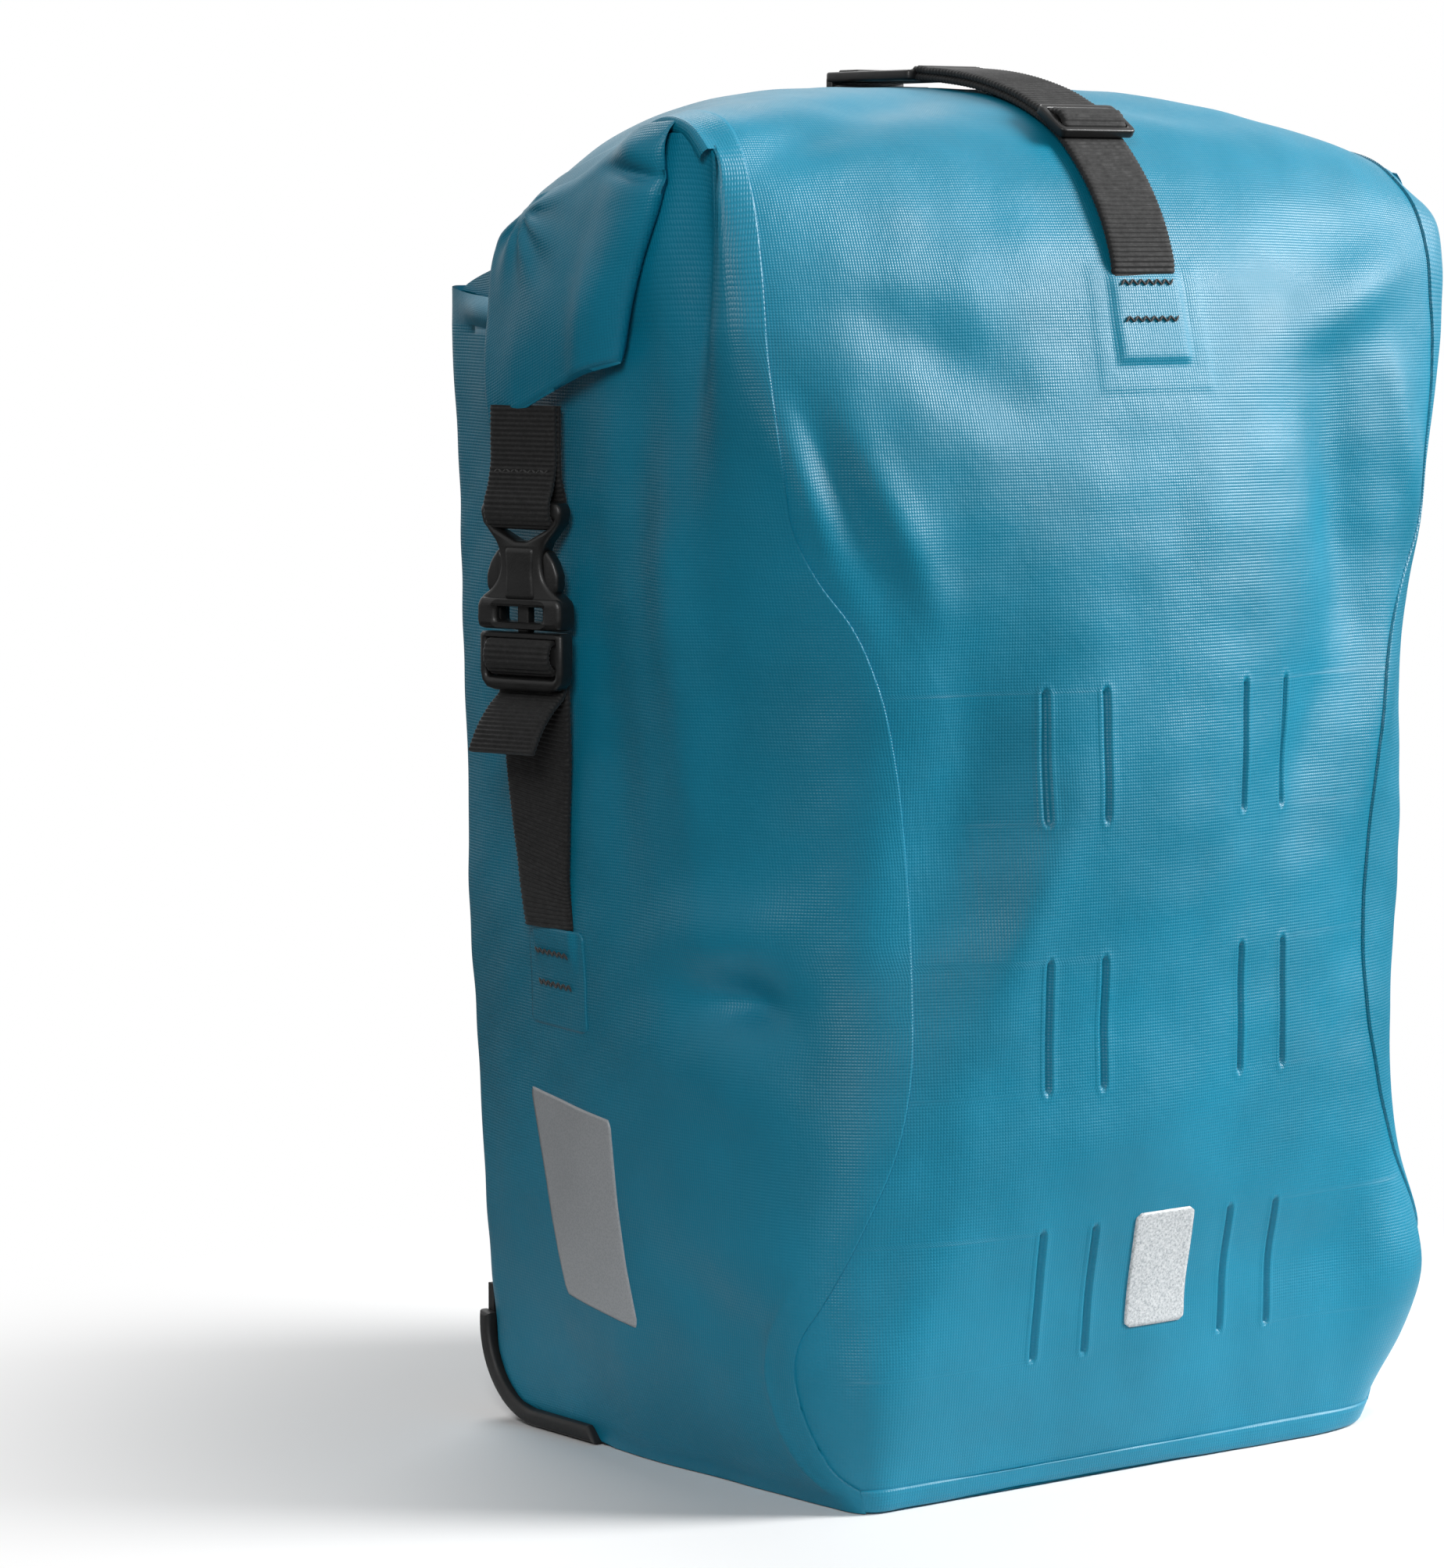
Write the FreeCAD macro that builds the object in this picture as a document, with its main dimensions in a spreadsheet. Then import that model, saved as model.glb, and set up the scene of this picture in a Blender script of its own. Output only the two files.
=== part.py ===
"""Roll-top pannier bag with buckled ends, a top strap, rack hooks and a kick guard.

The frame is millimetres with +Z up and +X to the bag's right.  -Y is the outer
face and +Y is the side that hangs on the rack.  The origin is the middle of the base.
"""
import FreeCAD, Part
import math
import os
import re

import Sketcher

Vector = FreeCAD.Vector
doc = FreeCAD.newDocument("pannier_bag")

# ---------------------------------------------------------------- driving dimensions

SIZES = {
    # welded fabric shell
    "rim_height": 364.0,
    "closure_height": 58.0,
    "base_width": 216.0,
    "rim_width": 292.0,
    "back_base_width": 220.0,
    "back_rim_width": 250.0,
    "base_front_reach": 91.0,
    "rim_front_reach": 72.0,
    "back_reach": 95.0,
    "front_bulge": 22.0,
    "side_bulge": 15.0,
    "fabric": 1.5,
    "patch_fabric": 0.8,
    "roll_thickness": 10.0,
    "flap_thickness": 6.0,
    "seat_gap": 0.3,
    "label_low": 46.0,
    "label_high": 82.0,
    "mark_low": 46.0,
    "mark_high": 111.0,
    # kick guard round the rear bottom edge
    "guard_wall": 3.0,
    "guard_radius": 30.0,
    "guard_foot": 34.0,
    "guard_width": 222.0,
    "guard_lip": 12.0,
    # back board and rails
    "board_thickness": 2.0,
    "board_width": 206.0,
    "board_bottom": 40.0,
    "board_top": 352.0,
    "rail_length": 232.0,
    "rail_drop": 46.0,
    "rail_web": 26.0,
    "rail_wall": 6.0,
    "screw_radius": 2.5,
    "screw_head_radius": 4.8,
    "screw_head_depth": 2.4,
    # rack hooks
    "tube_radius": 8.0,
    "insert_bore": 5.0,
    "hook_wall": 6.0,
    "hook_width": 34.0,
    "hook_spacing": 160.0,
    "hook_tail": 26.0,
    "hook_lip": 18.0,
    "latch_width": 6.0,
    "latch_drop": 4.0,
    "latch_pin_radius": 1.2,
    "latch_lever": 14.0,
    "running_fit": 0.05,
    "side_gap": 0.35,
    "handle_rise": 24.0,
    # lower rail and swivel hook
    "lower_rail_length": 176.0,
    "lower_rail_height": 112.0,
    "lower_rail_web": 26.0,
    "lower_rail_wall": 9.0,
    "channel_web": 16.0,
    "channel_mouth": 9.0,
    "channel_depth": 4.0,
    "carriage_length": 26.0,
    "swivel_radius": 6.0,
    "lower_hook_reach": 40.0,
    "lower_hook_wall": 5.0,
    "lower_hook_gap": 14.0,
    # webbing and buckles
    "webbing": 25.0,
    "webbing_thickness": 1.6,
    "buckle_reach": 149.5,
    "buckle_set_back": 22.0,
    "buckle_turn": 16.0,
    "buckle_mouth": 258.5,
    "buckle_thickness": 9.0,
    "buckle_side": 3.8,
    "socket_length": 39.0,
    "plug_length": 18.0,
    "prong_length": 25.0,
    "prong_inset": 13.6,
    "prong_thickness": 4.4,
    "cavity_side": 0.4,
    "anchor_height": 157.5,
    "anchor_set_back": 40.0,
    # top strap
    "strap_foot": 361.0,
    "glide_length": 14.0,
    "strap_hook_length": 42.0,
}

dims = doc.addObject("Spreadsheet::Sheet", "dims")
for row, (alias, number) in enumerate(SIZES.items(), start=1):
    dims.set(f"A{row}", alias)
    dims.set(f"B{row}", str(number))
    dims.setAlias(f"B{row}", alias)
doc.recompute()

ALIASES = re.compile(r"\b(" + "|".join(sorted(SIZES, key=len, reverse=True)) + r")\b")


def bound(text):
    """An expression that reads the sheet, from one written with bare aliases."""
    return ALIASES.sub(r"dims.\1", text)


def size(alias):
    """A driving dimension as a number, for shapes that code works out."""
    return float(dims.get(alias))


def place(part, origin, rotation=None):
    """Bind a part's position to three expressions."""
    if rotation is not None:
        part.Placement = FreeCAD.Placement(Vector(), rotation)
    for letter, text in zip("xyz", origin):
        part.setExpression(f".Placement.Base.{letter}", bound(text))
    return part


# ---------------------------------------------------------------- building blocks

ALONG = {
    "x": FreeCAD.Rotation(Vector(0, 1, 0), 90),
    "y": FreeCAD.Rotation(Vector(1, 0, 0), -90),
    "z": FreeCAD.Rotation(),
}
NODES = []


def node(part, label):
    """Give a finished piece its label and list it for export."""
    part.Label = label
    NODES.append(part)
    return part


def box(name, origin, lengths):
    part = doc.addObject("Part::Box", name)
    for prop, text in zip(("Length", "Width", "Height"), lengths):
        part.setExpression(prop, bound(text))
    return place(part, origin)


def rod(name, origin, radius, length, along):
    part = doc.addObject("Part::Cylinder", name)
    part.setExpression("Radius", bound(radius))
    part.setExpression("Height", bound(length))
    return place(part, origin, ALONG[along])


def join(name, parts):
    part = doc.addObject("Part::MultiFuse", name)
    part.Shapes = parts
    return part


def group(name, parts):
    """Separate solids kept together as one node."""
    part = doc.addObject("Part::Compound", name)
    part.Links = parts
    return part


def cut(name, base, tools):
    part = doc.addObject("Part::Cut", name)
    part.Base = base
    part.Tool = tools[0] if len(tools) == 1 else join(name + "_tools", tools)
    return part


def shaped(name, shape):
    part = doc.addObject("Part::Feature", name)
    part.Shape = shape
    return part


def plane_of(body, role):
    return next(item for item in body.Origin.OriginFeatures if item.Role == role)


def profile_body(name, plane, corners, start, length):
    """A padded outline whose corners are pairs of expressions on an origin plane."""
    body = doc.addObject("PartDesign::Body", name)
    sketch = body.newObject("Sketcher::SketchObject", name + "_outline")
    sketch.AttachmentSupport = [(plane_of(body, plane), "")]
    sketch.MapMode = "FlatFace"
    sketch.setExpression("AttachmentOffset.Base.z", bound(start))
    doc.recompute()
    spots = [Vector(worth(across), worth(up), 0) for across, up in corners]
    for here, there in zip(spots, spots[1:] + spots[:1]):
        sketch.addGeometry(Part.LineSegment(here, there), False)
    count = len(corners)
    for index, texts in enumerate(corners):
        sketch.addConstraint(Sketcher.Constraint("Coincident", index, 2, (index + 1) % count, 1))
        for kind, text in zip(("DistanceX", "DistanceY"), texts):
            at = sketch.addConstraint(Sketcher.Constraint(kind, -1, 1, index, 1, worth(text)))
            sketch.setExpression(f"Constraints[{at}]", bound(text))
    pad = body.newObject("PartDesign::Pad", name + "_pad")
    pad.Profile = sketch
    pad.setExpression("Length", bound(length))
    doc.recompute()
    return body


def worth(text):
    """The number an expression has now, read back from the sheet's own solver."""
    return float(dims.evalExpression(bound(text)))


# ---------------------------------------------------------------- form of the fabric shell

class Level:
    """One horizontal section: half widths, reaches and bulges at a height."""

    def __init__(self, height, half_front, front, bulge, half_back, back, side):
        self.height = height
        self.half_front = half_front
        self.front = front
        self.bulge = max(bulge, 0.4)
        self.half_back = half_back
        self.back = back
        self.side = max(side, 0.4)

    def inset(self, wall):
        """The same section, a wall thickness further in."""
        return Level(self.height, self.half_front - wall, self.front - wall, self.bulge,
                     self.half_back - wall, self.back - wall, self.side)

    def corner(self, hand, rear):
        if rear:
            return Vector(hand * self.half_back, self.back, self.height)
        return Vector(hand * self.half_front, -self.front, self.height)

    def front_arc(self):
        crest = Vector(0, -self.front - self.bulge, self.height)
        return Part.Arc(self.corner(-1, False), crest, self.corner(1, False)).toShape()

    def side_arc(self, hand):
        crest = (self.corner(hand, False) + self.corner(hand, True)) * 0.5
        crest.x += hand * self.side
        return Part.Arc(self.corner(hand, False), crest, self.corner(hand, True)).toShape()

    def back_line(self):
        return Part.makeLine(self.corner(-1, True), self.corner(1, True))

    def outline(self):
        edges = [self.front_arc(), self.side_arc(1), self.back_line(), self.side_arc(-1)]
        return Part.Wire(Part.__sortEdges__(edges))


# Shares of the way up to the rim, and there from base value to rim value.
SHELL_SHARES = (
    # height, width, lean, front bulge, side bulge
    (0.00, 0.00, 0.00, 0.05, 0.05),
    (0.06, 0.21, -0.10, 0.10, 0.20),
    (0.17, 0.31, -0.18, 0.27, 0.53),
    (0.34, 0.21, -0.06, 0.60, 0.87),
    (0.51, 0.26, 0.06, 0.82, 1.00),
    (0.68, 0.47, 0.35, 1.00, 0.93),
    (0.85, 0.79, 0.65, 0.91, 0.45),
    (1.00, 1.00, 1.00, 0.82, 0.25),
)


def between(low, high, share):
    return low + (high - low) * share


def shell_level(height, width, lean, bulge, side):
    return Level(
        size("rim_height") * height,
        between(size("base_width"), size("rim_width"), width) / 2,
        between(size("base_front_reach"), size("rim_front_reach"), lean),
        size("front_bulge") * bulge,
        between(size("back_base_width"), size("back_rim_width"), height) / 2,
        size("back_reach"),
        size("side_bulge") * side)


LEVELS = [shell_level(*shares) for shares in SHELL_SHARES]
RIM = LEVELS[-1]


def level_at(height):
    """The section at any height of the shell, between the two nearest levels."""
    for low, high in zip(LEVELS, LEVELS[1:]):
        if height <= high.height:
            break
    share = (height - low.height) / (high.height - low.height)
    return Level(height, *(between(getattr(low, key), getattr(high, key), share)
                           for key in ("half_front", "front", "bulge", "half_back", "back", "side")))


def strip_loft(wires):
    return Part.makeLoft(wires, True, True)


def strip(outer, inner):
    """A closed wire round one panel's thickness at one level."""
    edges = [outer, inner]
    for end in (0, -1):
        edges.append(Part.makeLine(outer.Vertexes[end].Point, inner.Vertexes[end].Point))
    return Part.Wire(Part.__sortEdges__(edges))


FABRIC = size("fabric")


def panel(edge_of, levels):
    """A fabric panel through the given levels, from a function that draws its outer edge."""
    return strip_loft([strip(edge_of(level), edge_of(level.inset(FABRIC))) for level in levels])


def front_point(across, height, lift):
    """A point over the front face, lifted off the fabric."""
    level = level_at(height)
    share = across / level.half_front
    return Vector(across, -level.front - level.bulge * (1 - share ** 2) - lift, height)


def side_point(hand, along, height, lift):
    """A point over a side face, lifted off the fabric."""
    level = level_at(height)
    share = (along + level.front) / (level.back + level.front)
    reach = between(level.half_front, level.half_back, share)
    reach += level.side * (1 - (2 * share - 1) ** 2)
    return Vector(hand * (reach + lift), along, height)


def patch(point_at, foot_span, head_span, heights, lift, thickness):
    """A thin welded patch that follows a face, from its foot's edges to its head's edges."""
    wires = []
    for height in heights:
        rise = (height - heights[0]) / (heights[-1] - heights[0])
        start, end = (between(low, high, rise) for low, high in zip(foot_span, head_span))
        steps = [between(start, end, share) for share in (0.0, 0.25, 0.5, 0.75, 1.0)]
        rows = []
        for level in (lift, lift + thickness):
            rows.append([point_at(step, height, level) for step in steps])
        ring = rows[0] + rows[1][::-1]
        wires.append(Part.makePolygon(ring + ring[:1]))
    return strip_loft(wires)


def ribbon(centres, across, thickness, width):
    """Flat webbing along a chain of centre points, its width along given directions."""
    wires = []
    for at, centre in enumerate(centres):
        before = centres[max(at - 1, 0)]
        after = centres[min(at + 1, len(centres) - 1)]
        run = (after - before).normalize()
        wide = across[at].normalize() * (width / 2)
        thick = run.cross(wide).normalize() * (thickness / 2)
        ring = [centre + wide + thick, centre - wide + thick,
                centre - wide - thick, centre + wide - thick]
        wires.append(Part.makePolygon(ring + ring[:1]))
    return strip_loft(wires)


# ---------------------------------------------------------------- welded panels

def make_panels():
    node(shaped("front_sheet", panel(Level.front_arc, LEVELS)), "front_panel")
    corner = guard_corner_cutter()
    for name, hand in SIDES:
        sheet = panel(lambda level, hand=hand: level.side_arc(hand), LEVELS)
        node(cut(f"{name}_side", shaped(f"{name}_side_sheet", sheet), [corner]),
             f"{name}_side_panel")
    start = size("guard_radius") + size("guard_wall") + size("seat_gap")
    back_levels = [level_at(start)] + [level for level in LEVELS if level.height > start + 1]
    node(shaped("back_sheet", panel(Level.back_line, back_levels)), "back_panel")
    node(bottom_panel(), "bottom_panel")


SIDES = (("left", -1), ("right", 1))


def rear_curve(wall):
    """The rounded rear bottom edge in side view, a wall's depth inside the guard's outside."""
    radius = size("guard_radius") - wall
    back = size("back_reach") + size("guard_wall") - wall
    centre = Vector(0, back - radius, size("guard_radius"))
    middle = centre + Vector(0, radius * math.sin(math.pi / 4), -radius * math.cos(math.pi / 4))
    low = Vector(0, centre.y, wall)
    high = Vector(0, back, centre.z)
    return low, Part.Arc(low, middle, high).toShape(), high


def extruded(edges, start, length):
    face = Part.Face(Part.Wire(Part.__sortEdges__(edges)))
    face.translate(Vector(start, 0, 0))
    return face.extrude(Vector(length, 0, 0))


def lines(*points):
    return [Part.makeLine(here, there) for here, there in zip(points, points[1:])]


def guard_corner_cutter():
    """What is outside the rear bottom curve, which the kick guard takes up."""
    low, curve, high = rear_curve(size("guard_wall") + size("seat_gap"))
    foot = Vector(0, size("guard_foot") - size("seat_gap"), low.z)
    sill = Vector(0, foot.y, -5)
    far = Vector(0, high.y + 20, -5)
    above = Vector(0, far.y, high.z)
    width = size("guard_width") + 80
    shape = extruded([curve] + lines(high, above, far, sill, foot, low), -width / 2, width)
    return shaped("guard_corner", shape)


def bottom_panel():
    """The floor: level at the front, raised over the guard and turned up the back."""
    wall = size("guard_wall") + size("seat_gap")
    low, curve, high = rear_curve(wall)
    inner_low, inner_curve, inner_high = rear_curve(wall + FABRIC)
    front = -size("base_front_reach") + FABRIC + size("seat_gap")
    step = size("guard_foot") - size("seat_gap")
    ramp = step - 8
    under = lines(Vector(0, front, 0), Vector(0, ramp, 0), Vector(0, step, wall), low)
    over = lines(inner_low, Vector(0, step, wall + FABRIC), Vector(0, ramp, FABRIC),
                 Vector(0, front, FABRIC), Vector(0, front, 0))
    width = size("base_width") - 2 * (FABRIC + size("seat_gap")) - 1
    edges = under + [curve] + lines(high, inner_high) + [inner_curve] + over
    return shaped("floor_sheet", extruded(edges, -width / 2, width))


def make_guard():
    """Moulded L-shaped guard with its screws."""
    low, curve, high = rear_curve(0)
    inner_low, inner_curve, inner_high = rear_curve(size("guard_wall"))
    foot = Vector(0, size("guard_foot"), 0)
    inner_foot = Vector(0, foot.y, size("guard_wall"))
    top = high + Vector(0, 0, size("guard_lip"))
    inner_top = inner_high + Vector(0, 0, size("guard_lip"))
    edges = lines(foot, low) + [curve] + lines(high, top, inner_top, inner_high)
    edges += [inner_curve] + lines(inner_low, inner_foot, foot)
    width = size("guard_width")
    shell = shaped("guard_shell", extruded(edges, -width / 2, width))
    spots = [(f"{share} * guard_width", "guard_radius + guard_lip / 2") for share in (-0.4, -0.14, 0.14, 0.4)]
    outer = "back_reach + guard_wall"
    holes = [rod(f"guard_hole_{at}", (across, "back_reach - 1", up), "screw_radius",
                 "guard_wall + 2", "y") for at, (across, up) in enumerate(spots)]
    node(cut("guard", shell, holes), "kick_guard")
    node(group("guard_screw_set", [screw(f"guard_screw_{at}", across, outer, up, "guard_wall")
                                   for at, (across, up) in enumerate(spots)]), "guard_screws")


def screw(name, across, face, up, depth):
    """A pan-head screw or rivet in a wall whose outer face is at the given Y."""
    shank = rod(name + "_shank", (across, f"{face} - ({depth})", up), "screw_radius", depth, "y")
    head = rod(name + "_head", (across, face, up), "screw_head_radius", "screw_head_depth", "y")
    return join(name, [shank, head])


# ---------------------------------------------------------------- back board and rack hooks

RAIL_UP = "rim_height - rail_drop"
RAIL_FACE = "back_reach + rail_wall"
TUBE_Y = "back_reach + rail_wall + hook_wall + tube_radius"
TUBE_UP = "rim_height - rail_drop + 7"


def make_board():
    node(box("board", ("-board_width / 2", "back_reach - fabric - board_thickness", "board_bottom"),
             ("board_width", "board_thickness", "board_top - board_bottom")), "stiffener_board")


def make_rail():
    half = "rail_web / 2"
    low, high = f"{RAIL_UP} - {half}", f"{RAIL_UP} + {half}"
    corners = [("back_reach", low), (f"{RAIL_FACE} - 2", low), (RAIL_FACE, f"{low} + 2"),
               (RAIL_FACE, f"{low} + 6"), (f"{RAIL_FACE} - 2", f"{low} + 8"),
               (f"{RAIL_FACE} - 2", f"{high} - 8"), (RAIL_FACE, f"{high} - 6"),
               (RAIL_FACE, f"{high} - 2"), (f"{RAIL_FACE} - 2", high), ("back_reach", high)]
    bar = profile_body("rail_bar", "YZ_Plane", corners, "-rail_length / 2", "rail_length")
    spots = [f"{share} * rail_length" for share in (-0.45, -0.17, 0.17, 0.45)]
    face = f"{RAIL_FACE} - 2"
    holes = [rod(f"rail_hole_{at}", (across, "back_reach - 1", RAIL_UP), "screw_radius",
                 "rail_wall + 2", "y") for at, across in enumerate(spots)]
    node(cut("rail", bar, holes), "mount_rail")
    screws = [screw(f"rail_screw_{at}", across, face, RAIL_UP, "rail_wall - 2")
              for at, across in enumerate(spots)]
    node(group("rail_screw_set", screws), "rail_screws")


def hook_profile(name, left):
    """The J-shaped hook in side view: back plate, arch over the tube and outer leg."""
    inner, outer = "tube_radius", "(tube_radius + hook_wall)"
    tail = f"{TUBE_UP} - hook_tail"
    lip = f"{TUBE_UP} - hook_lip"
    corners = [(RAIL_FACE, tail), (f"{RAIL_FACE} + hook_wall", tail)]
    corners += arch(inner, range(180, -1, -20))
    corners += [(f"{TUBE_Y} + {inner}", lip), (f"{TUBE_Y} + {outer}", lip)]
    corners += arch(outer, range(0, 121, 20))
    corners += [(RAIL_FACE, f"{TUBE_UP} + 0.866 * {outer}")]
    return profile_body(name, "YZ_Plane", corners, left, "hook_width")


def arch(radius, angles):
    """Corners on an arc about the rack tube."""
    return [(f"{TUBE_Y} + {radius} * {math.cos(math.radians(angle)):.4f}",
             f"{TUBE_UP} + {radius} * {math.sin(math.radians(angle)):.4f}") for angle in angles]


PIVOT_Y = f"{TUBE_Y} + tube_radius + hook_wall / 2"
PIVOT_UP = f"{TUBE_UP} - latch_drop"


def make_hooks():
    pins = []
    for name, hand in SIDES:
        middle = f"{hand} * hook_spacing / 2"
        left = f"{middle} - hook_width / 2"
        body = hook_profile(f"{name}_hook_arm", left)
        slot = box(f"{name}_latch_slot", (f"{middle} - latch_width / 2 - side_gap",
                                          f"{TUBE_Y} + tube_radius - 2", f"{TUBE_UP} - 40"),
                   ("latch_width + 2 * side_gap", "hook_wall + 6", "40 + 4"))
        bore = rod(f"{name}_pin_bore", (f"{middle} - 8", PIVOT_Y, PIVOT_UP), "latch_pin_radius",
                   "16", "x")
        node(cut(f"{name}_hook_cut", body, [slot, bore]), f"{name}_hook")
        pins.append(rod(f"{name}_pin", (f"{middle} - 8", PIVOT_Y, PIVOT_UP), "latch_pin_radius",
                        "16", "x"))
        make_insert(name, middle)
        make_latch(name, middle)
    node(group("pin_set", pins), "latch_pins")
    make_handle()


def make_insert(name, middle):
    """A sleeve that fits the hook to a thinner rack tube."""
    outer = "(tube_radius - 0.1)"
    left = f"{middle} - hook_width / 2"
    sleeve = profile_body(f"{name}_sleeve", "YZ_Plane",
                          [(f"{TUBE_Y} - {outer}", f"{TUBE_UP} - 2")]
                          + arch(outer, range(180, -1, -20))
                          + [(f"{TUBE_Y} + {outer}", f"{TUBE_UP} - 2"),
                             (f"{TUBE_Y}", f"{TUBE_UP} - 2")], left, "hook_width")
    bore = rod(f"{name}_sleeve_bore", (f"{left} - 1", TUBE_Y, TUBE_UP), "insert_bore",
               "hook_width + 2", "x")
    mouth = box(f"{name}_sleeve_mouth", (f"{left} - 1", f"{TUBE_Y} - insert_bore", f"{TUBE_UP} - 3"),
                ("hook_width + 2", "2 * insert_bore", "3"))
    relief = box(f"{name}_sleeve_relief", (f"{middle} - latch_width / 2 - side_gap",
                                           f"{TUBE_Y} + insert_bore + 1", f"{TUBE_UP} - 4"),
                 ("latch_width + 2 * side_gap", "10", "8"))
    node(cut(f"{name}_insert_cut", sleeve, [bore, mouth, relief]), f"{name}_tube_insert")


def make_latch(name, middle):
    """A finger that closes the hook under the tube, with a lever on its outer side."""
    left = f"{middle} - latch_width / 2"
    finger_top = f"{TUBE_UP} - tube_radius - 2"
    finger = [(f"{TUBE_Y} - tube_radius + 3", f"{finger_top} - 5"), (f"{PIVOT_Y} + 3", f"{finger_top} - 5"),
              (f"{PIVOT_Y} + 3", f"{PIVOT_UP} - 1.5"),
              (f"{PIVOT_Y} + latch_lever + 2", f"{PIVOT_UP} - 1.5"),
              (f"{PIVOT_Y} + latch_lever + 2", f"{PIVOT_UP} + 1.5"), (f"{PIVOT_Y} - 1", f"{PIVOT_UP} + 2.8"),
              (f"{PIVOT_Y} - 2.7", f"{PIVOT_UP}"), (f"{PIVOT_Y} - 2.7", f"{finger_top}"),
              (f"{TUBE_Y} - tube_radius + 3", f"{finger_top} - 1")]
    body = profile_body(f"{name}_latch_arm", "YZ_Plane", finger, left, "latch_width")
    bore = rod(f"{name}_latch_bore", (f"{left} - 1", PIVOT_Y, PIVOT_UP),
               "latch_pin_radius + running_fit", "latch_width + 2", "x")
    peg = rod(f"{name}_latch_peg", (f"{middle} - latch_width / 2 - 4", f"{PIVOT_Y} + latch_lever", PIVOT_UP),
              "1.5", "latch_width + 8", "x")
    node(cut(f"{name}_latch_cut", join(f"{name}_latch_blank", [body, peg]), [bore]), f"{name}_latch")


def make_handle():
    """A carrying handle whose ends loop round the latch levers."""
    lever = worth(f"{PIVOT_Y} + latch_lever")
    lever_up = worth(PIVOT_UP)
    half = size("hook_spacing") / 2
    rise = size("handle_rise")
    thick = size("webbing_thickness")
    crown = [(-1.0, 6), (-0.94, 0.55 * rise), (-0.8, 0.85 * rise), (-0.45, rise), (0, rise + 2)]
    crown += [(-share, up) for share, up in reversed(crown[:-1])]
    centres = [Vector(share * half, lever - 2, lever_up + up) for share, up in crown]
    strap = shaped("handle_webbing", ribbon(centres, [Vector(0, 1, 0)] * len(centres), thick, 16))
    parts = [strap]
    for name, hand in SIDES:
        middle = f"{hand} * hook_spacing / 2"
        tip = f"{PIVOT_Y} + latch_lever"
        fork = box(f"{name}_fork", (f"{middle} - latch_width / 2 - 4", f"{tip} - 10", f"{PIVOT_UP} - 4.5"),
                   ("latch_width + 8", "14", "13"))
        throat = box(f"{name}_throat", (f"{middle} - latch_width / 2 - 0.8", f"{tip} - 11", f"{PIVOT_UP} - 5"),
                     ("latch_width + 1.6", "16", "10"))
        slot = box(f"{name}_peg_slot", (f"{middle} - 10", f"{tip} - 8.1", f"{PIVOT_UP} - 2.45"),
                   ("20", "10.2", "4.9"))
        parts.append(cut(f"{name}_eye", fork, [throat, slot]))
    node(join("handle", parts), "pull_handle")


# ---------------------------------------------------------------- lower rail and swivel hook

LOWER_FACE = "back_reach + lower_rail_wall"


def make_lower_mount():
    half, web = "lower_rail_web / 2", "channel_web / 2"
    mouth = "channel_mouth / 2"
    up = "lower_rail_height"
    bed = f"{LOWER_FACE} - channel_depth - 2"
    lip = f"{LOWER_FACE} - 2"
    corners = [("back_reach", f"{up} - {half}"), (LOWER_FACE, f"{up} - {half}"),
               (LOWER_FACE, f"{up} - {mouth}"), (lip, f"{up} - {mouth}"), (lip, f"{up} - {web}"),
               (bed, f"{up} - {web}"), (bed, f"{up} + {web}"), (lip, f"{up} + {web}"),
               (lip, f"{up} + {mouth}"), (LOWER_FACE, f"{up} + {mouth}"),
               (LOWER_FACE, f"{up} + {half}"), ("back_reach", f"{up} + {half}")]
    bar = profile_body("lower_bar", "YZ_Plane", corners, "-lower_rail_length / 2", "lower_rail_length")
    spots = ["-0.46 * lower_rail_length", "0.46 * lower_rail_length"]
    holes = [rod(f"lower_hole_{at}", (across, "back_reach - 1", up), "screw_radius",
                 "lower_rail_wall", "y") for at, across in enumerate(spots)]
    node(cut("lower_rail_cut", bar, holes), "lower_rail")
    screws = [rod(f"lower_screw_{at}", (across, "back_reach", up), "screw_radius",
                  f"lower_rail_wall - channel_depth - 2", "y") for at, across in enumerate(spots)]
    heads = [rod(f"lower_head_{at}", (across, bed, up), "screw_head_radius", "screw_head_depth", "y")
             for at, across in enumerate(spots)]
    node(group("lower_screw_set", [join(f"lower_fastener_{at}", list(pair))
                                   for at, pair in enumerate(zip(screws, heads))]),
         "lower_rail_screws")
    make_carriage(up, bed, lip)
    make_lower_hook(up)


def make_carriage(up, bed, lip):
    """A slider in the channel with a round post for the swivel hook."""
    left = "-carriage_length / 2"
    shoe = box("carriage_shoe", (left, f"{bed} + side_gap", f"{up} - channel_web / 2 + side_gap"),
               ("carriage_length", f"channel_depth - 2 * side_gap", "channel_web - 2 * side_gap"))
    neck = box("carriage_neck", (left, f"{bed} + 1", f"{up} - channel_mouth / 2 + side_gap"),
               ("carriage_length", "channel_depth + 2", "channel_mouth - 2 * side_gap"))
    plate = box("carriage_plate", (left, f"{LOWER_FACE} + side_gap", f"{up} - lower_rail_web / 2"),
                ("carriage_length", "3", "lower_rail_web"))
    post = rod("carriage_post", ("0", f"{LOWER_FACE} + side_gap", up), "swivel_radius",
               "side_gap + 3 + lower_hook_wall + 0.4", "y")
    cap = rod("carriage_cap", ("0", f"{LOWER_FACE} + side_gap * 2 + 3 + lower_hook_wall + 0.35", up),
              "swivel_radius + 3", "2", "y")
    bridge = box("carriage_bridge", (left, f"{lip}", f"{up} - channel_mouth / 2 + side_gap"),
                 ("carriage_length", "3", "channel_mouth - 2 * side_gap"))
    node(join("carriage", [shoe, neck, bridge, plate, post, cap]), "lower_carriage")


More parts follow.
